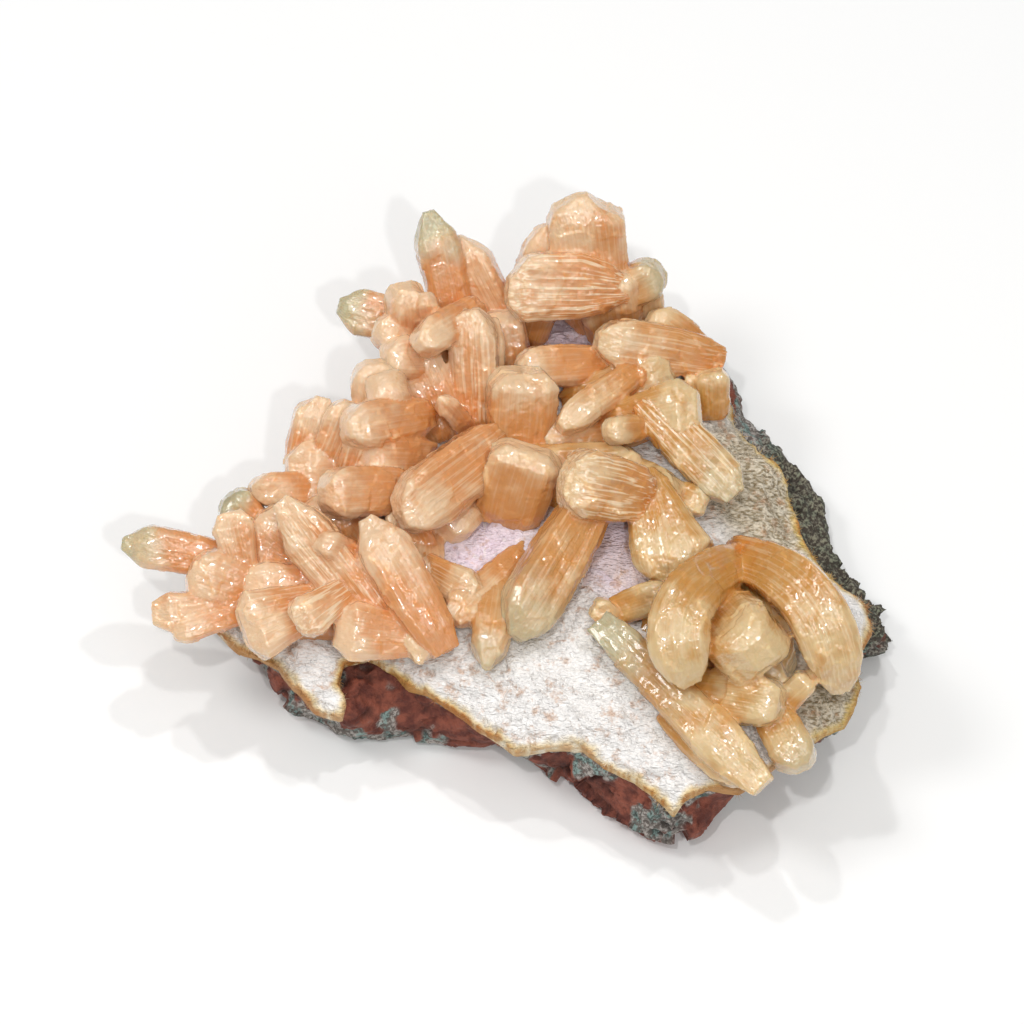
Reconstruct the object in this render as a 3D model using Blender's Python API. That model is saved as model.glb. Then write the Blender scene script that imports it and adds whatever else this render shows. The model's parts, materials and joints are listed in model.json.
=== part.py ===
"""Stilbite with mordenite on basalt: a hand-sized mineral specimen.

A broken slab of basalt lies on its flat underside. A thin crust of mordenite covers its upper
side, and sheaves of stilbite blades have grown on the crust. Blades that grew into each other
are one solid. Units are metres, +Z is up, and the viewer stands at -Y.
"""
import math
from collections import namedtuple

import bmesh
import bpy
from mathutils import Matrix, Vector, noise

MM = 0.001

# The specimen is laid out as it is seen from VIEW_TILT above the table: a spot is given as
# millimetres across and up in that view, and its height above the table.
VIEW_TILT = math.radians(60)
VIEW_LEVEL = 13.0
BOX_MIDDLE = Vector((-0.116, -0.46, 0.0))

GAP = 0.3

# Mordenite crust
CRUST_THICKNESS = 1.4
EDGE_HEIGHT = 10.5
DOME_RISE = 2.8
DOME_REACH = 5.0
SHED_DROP = 4.0
SHED_REACH = 2.0
LUMP_RISE = 0.5
LUMP_SIZE = 7.0
GROUND_CELL = 4.2
GROUND_HALF = (42.0, 35.7)

# Basalt slab
ROCK_SIDES = 64
ROCK_CENTRE = (4.0, -3.0)
WAIST_HEIGHT = 4.0
WAIST_WAVE = 1.2
WAVE_SIZE = 8.0
SHOULDER_HEIGHT = 7.6
SHOULDER_INSET = 0.7
FOOT_HEIGHT = 1.0
FOOT_INSET = 1.2
SOLE_INSET = 3.0
ROCK_TOP = 16.0
CHIP = 0.55
CHIP_SIZE = 2.2
CHIP_LAYERS = (0, 40, 80)

# Rim of the crust, clockwise from the left end, at EDGE_HEIGHT: (across, up)
CRUST_RIM = [
    (-29.8, -11.0), (-27.2, -13.2), (-25.6, -13.9), (-23.1, -15.0), (-21.6, -17.0),
    (-19.5, -18.9), (-16.7, -19.6), (-16.3, -18.2), (-17.1, -16.8), (-16.6, -15.0),
    (-14.2, -14.5), (-11.6, -15.4), (-10.2, -16.8), (-8.2, -17.7), (-5.5, -19.2),
    (-3.6, -20.6), (0.4, -23.1), (4.2, -22.6), (6.9, -22.8), (8.9, -24.3),
    (12.0, -25.8), (14.6, -27.4), (15.7, -28.6), (16.8, -27.5), (19.0, -26.6),
    (22.2, -26.6), (25.3, -24.8), (28.7, -22.5), (30.8, -21.3), (32.7, -20.4),
    (33.6, -19.0), (34.4, -16.8), (33.8, -14.6), (35.8, -11.3), (35.3, -8.8),
    (33.2, -7.4), (31.0, -5.2), (29.3, -2.9), (28.2, 1.0), (27.7, 4.3),
    (25.1, 6.4), (22.8, 8.9), (22.1, 12.2), (21.1, 15.2), (20.5, 17.0),
    (17.2, 19.3), (13.8, 20.8), (11.5, 22.6), (8.0, 24.0), (4.0, 23.6),
    (1.0, 21.6), (-1.5, 19.8), (-5.5, 18.0), (-9.0, 15.6), (-12.3, 12.2),
    (-15.5, 9.6), (-18.5, 6.3), (-22.0, 2.8), (-25.2, -0.8), (-28.0, -4.0),
    (-30.0, -7.0), (-31.0, -9.3),
]

# Widest line of the basalt, the same way round, at WAIST_HEIGHT: (across, up)
ROCK_WAIST = [
    (-28.4, -11.6), (-25.9, -13.9), (-24.9, -16.2), (-23.7, -17.8), (-22.1, -19.6),
    (-19.5, -20.6), (-17.6, -20.4), (-15.2, -22.0), (-11.4, -22.0), (-8.3, -22.1),
    (-4.7, -22.9), (-1.5, -22.7), (0.4, -23.8), (2.9, -25.4), (5.2, -26.0),
    (7.2, -26.8), (8.5, -27.9), (9.3, -29.4), (11.2, -30.6), (15.2, -31.4),
    (16.6, -32.1), (19.4, -30.8), (20.7, -29.0), (22.2, -27.7), (24.8, -24.6),
    (28.5, -20.6), (32.0, -17.6), (33.8, -14.9), (35.4, -14.0), (37.9, -13.9),
    (38.8, -13.0), (37.3, -9.3), (34.6, -7.1), (32.9, -5.3), (32.2, -1.7),
    (31.4, 2.0), (29.4, 4.9), (26.6, 7.6), (24.6, 9.7), (23.6, 11.9),
    (23.4, 13.6), (21.8, 16.6), (19.5, 17.6), (16.5, 18.0), (12.0, 18.9),
    (5.0, 19.4), (-1.0, 16.6), (-8.0, 13.4), (-13.5, 9.0), (-18.5, 4.6),
    (-23.5, -0.4), (-27.5, -5.0), (-29.4, -9.0),
]

# A blade's outline by habit, from root to tip: share of its length, then how far it reaches to its
# left and its right and its thickness, as shares of half its width and of its full thickness.
HABITS = {
    "chisel": [(0, 0.70, 0.70, 0.80), (0.35, 0.92, 0.92, 1.0), (0.78, 1.0, 1.0, 1.0), (1, 0.45, 0.35, 0.30)],
    "house": [(0, 0.75, 0.75, 0.80), (0.40, 0.95, 0.95, 1.0), (0.72, 1.0, 1.0, 1.0), (1, 0.42, 0.50, 0.55)],
    "round": [(0, 0.75, 0.75, 0.80), (0.42, 0.96, 0.96, 1.0), (0.76, 1.0, 1.0, 1.0),
              (0.93, 0.80, 0.80, 0.80), (1, 0.45, 0.42, 0.45)],
    "fan": [(0, 0.45, 0.45, 0.60), (0.45, 0.74, 0.74, 0.85), (0.86, 1.0, 1.0, 1.0), (1, 0.78, 0.80, 0.50)],
    "block": [(0, 0.88, 0.88, 0.90), (0.50, 1.0, 1.0, 1.0), (0.92, 0.98, 1.0, 1.0), (1, 0.84, 0.84, 0.72)],
    "point": [(0, 0.75, 0.75, 0.80), (0.42, 1.0, 1.0, 1.0), (0.76, 0.74, 0.74, 0.85), (1, 0.22, 0.24, 0.28)],
    "plate": [(0, 0.85, 0.90, 0.90), (0.50, 1.0, 1.0, 1.0), (0.88, 0.96, 0.92, 1.0), (1, 0.55, 0.75, 0.60)],
    "crown": [(0, 0.85, 0.70, 0.80), (0.50, 1.05, 0.90, 1.0), (0.80, 0.93, 1.0, 1.0),
              (0.93, 0.86, 0.46, 0.80), (1, 0.14, 0.26, 0.40)],
    "shield": [(0, 0.36, 0.60, 0.80), (0.40, 0.70, 1.0, 1.0), (0.72, 0.78, 0.95, 1.0),
               (0.88, 0.82, 0.80, 0.90), (1, 0.20, 0.18, 0.50)],
    "drape": [(0, 0.35, 0.35, 0.60), (0.48, 0.76, 0.70, 0.90), (0.78, 1.08, 0.78, 1.0),
              (0.92, 0.62, 0.60, 0.85), (1, 0.25, 0.25, 0.45)],
    "spindle": [(0, 0.72, 0.72, 0.85), (0.38, 0.82, 0.80, 1.0), (0.74, 1.0, 1.0, 1.0), (1, 0.66, 0.80, 0.60)],
}
WIDE_BLADE = 5.0
FLAT_ENOUGH = math.radians(4)

# root and tip: (across, up, height). turn: degrees about the blade's own length, 0 with its broad
# face to the viewer. via: a spot that a bent blade passes through.
Blade = namedtuple("Blade", "root tip width thick habit turn via", defaults=("chisel", 0, None))

GROUPS = {
    "stilbite_crown": [
        Blade((9.2, 19.0, 12.0), (6.9, 32.1, 25.0), 8.2, 4.6, "crown"),
        Blade((-0.6, 18.2, 12.0), (3.8, 29.0, 21.0), 3.5, 3.2, "round", 15),
        Blade((11.5, 22.4, 17.5), (-0.5, 22.5, 20.5), 8.0, 3.6, "shield", -8),
        Blade((9.5, 22.2, 15.0), (15.4, 24.3, 18.5), 4.2, 3.8, "round", 20),
        Blade((13.5, 18.6, 11.5), (13.2, 23.0, 16.0), 4.2, 3.2, "block", 10),
        Blade((10.5, 18.2, 11.5), (9.2, 24.5, 19.0), 6.4, 5.0, "block", 5),
        Blade((1.0, 17.6, 11.5), (3.0, 24.5, 18.0), 5.5, 4.0, "block"),
    ],
    "stilbite_spires": [
        Blade((-5.2, 16.5, 12.0), (-8.4, 30.6, 23.0), 4.6, 3.6, "chisel", 10),
        Blade((0.2, 17.0, 12.0), (-5.8, 28.0, 20.0), 4.8, 3.2, "chisel", -15),
        Blade((-10.0, 19.0, 14.5), (-17.8, 21.0, 15.5), 4.8, 3.0, "house"),
        Blade((-10.5, 16.5, 14.0), (-10.6, 22.6, 22.0), 4.3, 4.2, "round", 20),
        Blade((-8.0, 18.0, 16.5), (-8.7, 21.8, 22.5), 2.2, 2.0, "round"),
        Blade((-8.0, 16.5, 15.0), (-13.6, 18.7, 19.5), 3.8, 3.4, "round", 10),
        Blade((-6.5, 15.5, 15.0), (-12.8, 15.5, 19.5), 4.3, 3.6, "round", 5),
        Blade((-3.6, 20.8, 17.0), (-9.4, 16.6, 21.8), 3.7, 3.4, "round"),
        Blade((-6.5, 7.5, 12.0), (-10.5, 16.0, 17.5), 6.0, 4.2, "block"),
        Blade((-3.4, 7.8, 12.0), (-4.0, 20.4, 20.8), 5.0, 3.8, "round", -10),
        Blade((-1.9, 10.5, 12.0), (-1.7, 19.6, 19.0), 2.2, 3.2, "chisel"),
        Blade((-3.9, 7.8, 12.6), (-7.3, 11.5, 19.0), 2.4, 2.0, "chisel"),
        Blade((-1.0, 13.0, 11.0), (-2.2, 20.4, 16.0), 6.6, 4.4, "block"),
    ],
    "stilbite_ridge": [
        Blade((19.6, 16.2, 12.0), (14.0, 20.0, 16.5), 3.8, 3.4, "round", 15),
        Blade((21.3, 15.5, 13.5), (8.5, 17.5, 18.0), 5.2, 4.0, "round", -5),
        Blade((20.4, 9.6, 11.2), (20.2, 14.2, 15.0), 3.4, 2.8, "block", 10),
        Blade((18.2, 10.2, 11.0), (18.0, 14.4, 15.0), 1.6, 1.6, "point"),
        Blade((9.6, 15.2, 14.0), (0.4, 14.5, 17.0), 4.4, 3.6, "round"),
        Blade((14.2, 15.2, 15.5), (4.7, 8.4, 16.8), 3.4, 3.0, "round", 10),
        Blade((14.0, 8.6, 12.5), (0.2, 7.0, 14.8), 4.6, 3.6, "point"),
        Blade((9.0, 9.0, 14.0), (18.7, 10.4, 18.4), 6.4, 3.6, "fan", -10),
        Blade((13.2, 11.2, 17.5), (22.3, 1.6, 16.5), 4.8, 2.2, "plate", -12),
        Blade((13.2, 8.4, 16.5), (9.3, 8.0, 18.9), 2.9, 2.6, "round"),
        Blade((5.5, 10.0, 11.5), (16.5, 13.5, 15.0), 6.4, 4.4, "block"),
    ],
    "stilbite_heart": [
        Blade((0.6, 5.5, 12.0), (1.1, 14.2, 19.0), 6.9, 5.6, "block", 12),
        Blade((-0.6, -1.0, 12.0), (1.7, 6.4, 18.5), 7.4, 5.0, "block"),
        Blade((13.4, 1.6, 17.0), (4.9, 3.2, 21.5), 6.8, 4.8, "round"),
        Blade((8.6, 2.4, 18.0), (0.0, -12.2, 14.5), 5.8, 4.8, "round", -14),
        Blade((13.2, 4.0, 17.0), (16.0, -6.9, 15.5), 8.8, 4.2, "drape", 8),
        Blade((14.5, 3.0, 13.5), (19.2, 0.6, 16.0), 3.2, 2.4, "fan"),
        Blade((11.0, 4.6, 12.5), (16.2, 1.6, 17.0), 3.6, 3.0, "round"),
        Blade((-2.5, 2.8, 11.0), (13.0, 3.4, 14.5), 7.6, 5.0, "block"),
    ],
    "stilbite_fans": [
        Blade((-0.8, 7.6, 15.0), (-11.0, -0.7, 18.5), 6.4, 4.0, "round", -12),
        Blade((-2.6, 4.0, 11.5), (-7.0, -1.8, 14.5), 5.4, 3.4, "block"),
        Blade((-10.5, -4.2, 12.5), (-3.6, -8.2, 15.0), 4.0, 3.0, "fan"),
        Blade((1.4, -3.4, 12.5), (-6.0, -10.6, 14.5), 4.0, 3.0, "fan", 10),
        Blade((-1.2, -7.0, 13.0), (-2.5, -15.3, 14.0), 4.7, 3.8, "point"),
        Blade((-8.6, -4.8, 12.0), (-12.2, -0.2, 16.0), 2.1, 1.5, "plate", 20),
        Blade((-7.6, -5.0, 12.0), (-9.6, -0.4, 16.0), 2.1, 1.5, "plate", -10),
        Blade((-8.6, 0.5, 11.0), (-8.4, -7.5, 13.5), 3.6, 3.4, "block"),
    ],
    "stilbite_shoulder": [
        Blade((-13.0, 7.0, 12.0), (-13.8, 15.1, 20.0), 5.4, 3.8, "round"),
        Blade((-12.2, 9.4, 14.0), (-12.6, 13.0, 21.0), 4.6, 4.0, "round", 10),
        Blade((-21.4, 3.4, 12.0), (-18.8, 11.5, 18.0), 5.0, 3.2, "chisel", 8),
        Blade((-19.4, 3.6, 13.0), (-16.2, 10.9, 19.2), 3.8, 3.2, "round"),
        Blade((-17.0, 3.0, 14.0), (-15.0, 8.6, 19.6), 2.4, 2.2, "chisel"),
        Blade((-8.4, 9.8, 15.5), (-16.6, 8.2, 20.5), 4.8, 4.2, "round"),
        Blade((-8.2, 5.6, 13.5), (-14.6, 5.6, 18.0), 4.6, 3.6, "round"),
        Blade((-17.5, 2.2, 12.5), (-26.1, 2.2, 15.2), 3.6, 3.4, "round"),
        Blade((-10.3, 2.2, 14.5), (-18.8, 1.8, 18.8), 5.2, 4.4, "round"),
        Blade((-9.5, 4.6, 11.5), (-22.5, 3.2, 14.0), 7.5, 4.6, "block"),
    ],
    "stilbite_left": [
        Blade((-27.5, -5.0, 12.5), (-38.7, -3.0, 14.2), 4.4, 3.4, "chisel"),
        Blade((-25.0, -2.0, 12.0), (-28.4, 1.6, 15.0), 4.0, 3.0, "round"),
        Blade((-25.6, -9.0, 12.5), (-27.9, 0.0, 18.0), 4.3, 3.4, "fan"),
        Blade((-24.5, -8.4, 12.5), (-31.8, -5.6, 15.5), 5.6, 4.0, "round"),
        Blade((-24.5, -9.2, 13.0), (-35.4, -10.0, 13.8), 4.0, 3.0, "fan"),
        Blade((-25.5, -9.4, 13.0), (-33.4, -12.0, 13.2), 2.8, 2.6, "round"),
        Blade((-18.0, -8.5, 14.0), (-26.4, -11.6, 15.0), 7.2, 3.8, "fan"),
        Blade((-12.6, -11.5, 13.5), (-22.8, 1.1, 19.5), 5.3, 3.6, "house", -10),
        Blade((-15.0, -4.4, 15.0), (-18.8, -2.8, 19.6), 2.8, 2.8, "block"),
        Blade((-6.4, -13.8, 13.5), (-14.4, -0.5, 20.0), 5.4, 3.8, "chisel", 12),
        Blade((-15.0, -6.8, 15.5), (-21.0, -11.0, 17.2), 4.4, 3.0, "fan"),
        Blade((-6.3, -12.8, 12.5), (-17.4, -11.4, 15.0), 6.0, 4.0, "fan"),
        Blade((-8.4, -8.5, 13.5), (-9.2, -14.9, 13.8), 4.2, 3.2, "point"),
        Blade((-18.5, -6.0, 11.5), (-25.6, -0.8, 15.5), 6.8, 4.6, "round"),
        Blade((-12.0, -9.5, 11.0), (-27.0, -8.5, 13.5), 7.6, 4.4, "block"),
        Blade((-15.0, -4.0, 11.5), (-19.8, 1.5, 15.5), 6.4, 4.2, "round"),
    ],
    "stilbite_arch": [
        Blade((21.8, -4.4, 13.0), (31.8, -17.2, 14.5), 6.0, 4.6, "round", 0, (28.4, -8.2, 20.0)),
        Blade((23.2, -4.6, 14.5), (17.2, -16.5, 17.5), 6.0, 4.6, "round", 0, (16.6, -9.2, 20.5)),
        Blade((20.5, -10.0, 13.0), (23.6, -13.8, 21.0), 7.4, 6.2, "round"),
        Blade((8.6, -10.8, 14.5), (24.3, -26.4, 13.8), 5.0, 3.4, "spindle"),
        Blade((14.8, -19.6, 12.3), (22.2, -26.2, 12.8), 3.2, 2.6, "round"),
        Blade((17.0, -17.0, 13.0), (26.0, -18.6, 16.5), 4.8, 4.0, "block"),
        Blade((24.4, -17.8, 13.0), (28.0, -24.8, 14.0), 4.4, 3.6, "round"),
        Blade((25.6, -19.4, 13.5), (29.0, -15.9, 16.5), 2.6, 2.2, "block"),
        Blade((10.6, -11.2, 12.5), (8.0, -9.0, 15.0), 2.4, 2.0, "round"),
        Blade((9.6, -10.0, 12.5), (15.4, -7.8, 16.0), 3.2, 2.8, "block"),
        Blade((13.0, -11.5, 11.5), (26.0, -18.5, 13.5), 8.0, 4.4, "block"),
        Blade((21.0, -5.0, 11.5), (24.0, -17.0, 13.5), 9.0, 4.4, "block"),
    ],
}

# Groups that crowd each other: the first keeps a gap to the blades of the others
CROWDED = [
    ("stilbite_spires", ("stilbite_crown",)),
    ("stilbite_ridge", ("stilbite_crown",)),
    ("stilbite_heart", ("stilbite_ridge", "stilbite_spires")),
    ("stilbite_fans", ("stilbite_heart", "stilbite_spires")),
    ("stilbite_shoulder", ("stilbite_spires", "stilbite_fans")),
    ("stilbite_left", ("stilbite_shoulder", "stilbite_fans")),
    ("stilbite_arch", ("stilbite_heart",)),
]

COLOURS = {
    "basalt_matrix": ((0.16, 0.036, 0.018), 0.85),
    "mordenite_crust": ((0.86, 0.80, 0.80), 0.95),
    "stilbite": ((0.82, 0.46, 0.22), 0.30),
}


def spot(across, up, height):
    """Turns a place in the tilted view into a point of the specimen, in millimetres."""
    back = (up - (height - VIEW_LEVEL) * math.cos(VIEW_TILT)) / math.sin(VIEW_TILT)
    return Vector((across, back, height))


def clear_scene():
    for item in list(bpy.data.objects):
        bpy.data.objects.remove(item, do_unlink=True)


def make_collection(name):
    group = bpy.data.collections.new(name)
    bpy.context.scene.collection.children.link(group)
    return group


def make_material(name, colour, roughness):
    material = bpy.data.materials.new(name)
    material.use_nodes = True
    shader = material.node_tree.nodes["Principled BSDF"]
    shader.inputs["Base Color"].default_value = (*colour, 1)
    shader.inputs["Roughness"].default_value = roughness
    shader.inputs["Metallic"].default_value = 0
    return material


def make_object(name, bm, collection):
    """Writes a mesh built in millimetres to a new object in metres.

    Its faces become triangles, because the exact Boolean fails on a four-sided face that is bent.
    """
    bmesh.ops.triangulate(bm, faces=bm.faces)
    bmesh.ops.recalc_face_normals(bm, faces=bm.faces)
    to_origin = Matrix.Scale(MM, 4) @ Matrix.Translation(-BOX_MIDDLE)
    bmesh.ops.transform(bm, matrix=to_origin, verts=bm.verts)
    mesh = bpy.data.meshes.new(name)
    bm.to_mesh(mesh)
    bm.free()
    item = bpy.data.objects.new(name, mesh)
    collection.objects.link(item)
    return item


def hide_tool(item):
    item.hide_render = True
    item.display_type = "WIRE"
    return item


def plan(outline, height):
    """The plan of an outline that was read in the tilted view at one height."""
    return [spot(across, up, height).to_2d() for across, up in outline]


def distance_inside(point, outline):
    """Distance to a closed outline, positive inside it and negative outside."""
    nearest = math.inf
    inside = False
    for start, end in zip(outline, outline[1:] + outline[:1]):
        side = end - start
        share = max(0, min(1, (point - start).dot(side) / side.length_squared))
        nearest = min(nearest, (point - start - side * share).length)
        if (start.y > point.y) != (end.y > point.y):
            crossing = start.x + (point.y - start.y) * side.x / side.y
            if point.x < crossing:
                inside = not inside
    return nearest if inside else -nearest


def ground_height(point, rim):
    """Height of the crust's face: a low dome that falls to its rim, and drops past it."""
    depth = distance_inside(point, rim)
    if depth < 0:
        return EDGE_HEIGHT - SHED_DROP * (1 - math.exp(min(0, depth + GAP) / SHED_REACH))
    rise = 1 - math.exp(-depth / DOME_REACH)
    lump = noise.noise(Vector((point.x, point.y, 0)) / LUMP_SIZE)
    return EDGE_HEIGHT + (DOME_RISE + LUMP_RISE * lump) * rise


def ground_block(rim, top, bottom):
    """A block between two faces; each is a function of the ground's height at a point."""
    bm = bmesh.new()
    cells = [round(2 * half / GROUND_CELL) for half in GROUND_HALF]
    size = Matrix.Diagonal((GROUND_HALF[0], GROUND_HALF[1], 1, 1))
    bmesh.ops.create_grid(bm, x_segments=cells[0], y_segments=cells[1], size=1, matrix=size)
    bmesh.ops.triangulate(bm, faces=bm.faces, quad_method="FIXED")
    lower = list(bm.verts)
    grown = bmesh.ops.extrude_face_region(bm, geom=bm.faces[:], use_keep_orig=True)
    upper = [part for part in grown["geom"] if isinstance(part, bmesh.types.BMVert)]
    for vert in lower:
        vert.co.z = bottom(ground_height(vert.co.to_2d(), rim))
    for vert in upper:
        vert.co.z = top(ground_height(vert.co.to_2d(), rim))
    return bm


def rim_prism(rim, low, high):
    """A straight-sided block over the crust's outline."""
    bm = bmesh.new()
    floor = bm.faces.new([bm.verts.new((point.x, point.y, low)) for point in rim])
    grown = bmesh.ops.extrude_face_region(bm, geom=[floor], use_keep_orig=True)
    upper = [part for part in grown["geom"] if isinstance(part, bmesh.types.BMVert)]
    bmesh.ops.translate(bm, verts=upper, vec=(0, 0, high - low))
    return bm


def add_boolean(item, operation, tools):
    cut = item.modifiers.new(operation.lower(), "BOOLEAN")
    cut.operation = operation
    cut.solver = "EXACT"
    cut.operand_type = "COLLECTION"
    cut.collection = tools


def bake(item):
    """Replaces an object's mesh with what its modifiers make of it."""
    bpy.context.view_layer.update()
    graph = bpy.context.evaluated_depsgraph_get()
    mesh = bpy.data.meshes.new_from_object(item.evaluated_get(graph))
    item.modifiers.clear()
    item.data = mesh


def combine(item, operation, parts, tools):
    """Joins parts to an object, or cuts them from it, and puts the parts away."""
    holder = bpy.data.collections.new(operation.lower() + "_" + item.name)
    tools.children.link(holder)
    for part in parts:
        holder.objects.link(part)
    add_boolean(item, operation, holder)
    bake(item)
    for part in parts:
        bpy.data.objects.remove(part, do_unlink=True)
    bpy.data.collections.remove(holder)


def keep_largest(item):
    """Drops the crumbs that a cut leaves loose."""
    bm = bmesh.new()
    bm.from_mesh(item.data)
    unseen = set(bm.verts)
    shells = []
    while unseen:
        edge_of_shell = [unseen.pop()]
        shell = set(edge_of_shell)
        while edge_of_shell:
            vert = edge_of_shell.pop()
            near = {edge.other_vert(vert) for edge in vert.link_edges} & unseen
            unseen -= near
            shell |= near
            edge_of_shell.extend(near)
        shells.append(shell)
    shells.sort(key=len)
    loose = [vert for shell in shells[:-1] for vert in shell]
    bmesh.ops.delete(bm, geom=loose, context="VERTS")
    bm.to_mesh(item.data)
    bm.free()
    return [len(shell) for shell in shells]


def merge_flats(item):
    """Dissolves the edges between faces that are all but level with each other."""
    bm = bmesh.new()
    bm.from_mesh(item.data)
    bmesh.ops.dissolve_limit(bm, angle_limit=FLAT_ENOUGH, verts=bm.verts, edges=bm.edges)
    bmesh.ops.triangulate(bm, faces=bm.faces)
    bm.to_mesh(item.data)
    bm.free()


def reach(outline, centre, angle):
    """How far an outline lies from a centre in one direction."""
    ray = Vector((math.cos(angle), math.sin(angle)))
    best = 0
    for start, end in zip(outline, outline[1:] + outline[:1]):
        side = end - start
        cross = ray.x * side.y - ray.y * side.x
        if abs(cross) < 1e-9:
            continue
        offset = start - centre
        along = (offset.x * side.y - offset.y * side.x) / cross
        share = (offset.x * ray.y - offset.y * ray.x) / cross
        if along > 0 and 0 <= share <= 1:
            best = max(best, along)
    return best


def chip(point):
    """A small, fixed shift of a point, as of a broken surface."""
    shifts = [noise.noise((point + Vector((0, 0, layer))) / CHIP_SIZE) for layer in CHIP_LAYERS]
    return Vector(shifts) * CHIP


def build_basalt(rim, parts, tools):
    """The slab: rings from its sole to its waist and up to the crust, then its top cut to fit."""
    centre = Vector(ROCK_CENTRE)
    waist = plan(ROCK_WAIST, WAIST_HEIGHT)
    levels = [
        (waist, SOLE_INSET, 0.0),
        (waist, FOOT_INSET, FOOT_HEIGHT),
        (waist, 0.0, WAIST_HEIGHT),
        (rim, SHOULDER_INSET, SHOULDER_HEIGHT),
        (rim, SHOULDER_INSET, ROCK_TOP),
    ]
    bm = bmesh.new()
    bmesh.ops.create_cone(bm, cap_ends=True, segments=ROCK_SIDES, radius1=1, radius2=1, depth=1)
    rings = [[vert for vert in bm.verts if vert.co.z < 0], [vert for vert in bm.verts if vert.co.z > 0]]
    cap = max(bm.faces, key=lambda face: face.calc_center_median().z)
    for _ in levels[2:]:
        cap = bmesh.ops.extrude_discrete_faces(bm, faces=[cap])["faces"][0]
        rings.append(list(cap.verts))
    for ring, (outline, inset, height) in zip(rings, levels):
        for vert in ring:
            angle = math.atan2(vert.co.y, vert.co.x)
            radius = reach(outline, centre, angle) - inset
            flat = centre + Vector((math.cos(angle), math.sin(angle))) * radius
            vert.co = Vector((flat.x, flat.y, height))
            if 0 < height < ROCK_TOP:
                vert.co += chip(vert.co)
            if height == WAIST_HEIGHT:
                rise = WAIST_WAVE * noise.noise(vert.co / WAVE_SIZE)
                vert.co.z += rise
                vert.co.y -= rise / math.tan(VIEW_TILT)
    rock = make_object("basalt_matrix", bm, parts)
    under = CRUST_THICKNESS + GAP
    lid = make_object("lid", ground_block(rim, lambda z: 2 * ROCK_TOP, lambda z: z - under), tools)
    combine(rock, "DIFFERENCE", [hide_tool(lid)], tools)
    return rock


def build_crust(rim, parts, tools):
    """The mordenite: a sheet of even thickness that follows the dome, trimmed to its rim."""
    sheet = ground_block(rim, lambda z: z, lambda z: z - CRUST_THICKNESS)
    crust = make_object("mordenite_crust", sheet, parts)
    trim = hide_tool(make_object("rim_prism", rim_prism(rim, 0, 2 * ROCK_TOP), tools))
    combine(crust, "INTERSECT", [trim], tools)
    keep_largest(crust)
    return crust


def section(blade):
    """Corners of a blade's cross-section, as shares of half its width and half its thickness."""
    if blade.width < WIDE_BLADE:
        return [(0.94, -0.5), (0.8, 0.75), (-0.55, 1), (-1, 0.35), (-0.8, -0.8), (0.5, -1)]
    return [(1, -0.5), (1, 0.4), (0.72, 1), (-0.66, 1), (-1, 0.5), (-1, -0.4), (-0.72, -1), (0.66, -1)]


def blade_path(blade):
    """Three control points of the blade's middle line."""
    root, tip = spot(*blade.root), spot(*blade.tip)
    if blade.via is None:
        return root, (root + tip) / 2, tip
    return root, 2 * spot(*blade.via) - (root + tip) / 2, tip


def grow_blade(blade, swell=0.0):
    """One stilbite blade: a cross-section drawn out along its line, ring by ring."""
    corners = section(blade)
    rings_plan = HABITS[blade.habit]
    start, middle, end = blade_path(blade)
    to_viewer = Vector((0, -math.cos(VIEW_TILT), math.sin(VIEW_TILT)))
    bm = bmesh.new()
    count = len(corners)
    bmesh.ops.create_cone(bm, cap_ends=True, segments=count, radius1=1, radius2=1, depth=1)
    rings = [[vert for vert in bm.verts if vert.co.z < 0], [vert for vert in bm.verts if vert.co.z > 0]]
    cap = max(bm.faces, key=lambda face: face.calc_center_median().z)
    for _ in rings_plan[2:]:
        cap = bmesh.ops.extrude_discrete_faces(bm, faces=[cap])["faces"][0]
        rings.append(list(cap.verts))
    for ring, (share, left, right, deep) in zip(rings, rings_plan):
        ring.sort(key=lambda vert: math.atan2(vert.co.y, vert.co.x))
        point = start * (1 - share) ** 2 + middle * 2 * share * (1 - share) + end * share ** 2
        along = ((middle - start) * (1 - share) + (end - middle) * share).normalized()
        face = (to_viewer - along * to_viewer.dot(along)).normalized()
        face = Matrix.Rotation(math.radians(blade.turn), 3, along) @ face
        side = along.cross(face)
        if share in (0, 1):
            point = point + along * (swell if share else -swell)
        half_thick = blade.thick / 2 * deep + swell
        for vert, (beside, front) in zip(ring, corners):
            half_width = blade.width / 2 * (right if beside > 0 else left) + swell
            vert.co = point + side * beside * half_width + face * front * half_thick
    return bm


def build_group(name, blades, neighbours, rim, parts, tools):
    """Blades that grew into each other, joined, then cut clear of the crust and the neighbours."""
    grown = [make_object(name, grow_blade(blade), parts) for blade in blades]
    group = grown[0]
    combine(group, "UNION", [hide_tool(blade) for blade in grown[1:]], tools)
    cutters = [make_object("ground", ground_block(rim, lambda z: z + GAP, lambda z: -ROCK_TOP), tools)]
    cutters += [make_object("clearance", grow_blade(blade, GAP), tools) for blade in neighbours]
    for cutter in cutters:
        combine(group, "DIFFERENCE", [hide_tool(cutter)], tools)
    shells = keep_largest(group)
    merge_flats(group)
    print(name, "corners by shell", shells, "triangles", len(group.data.polygons))
    return group


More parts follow.
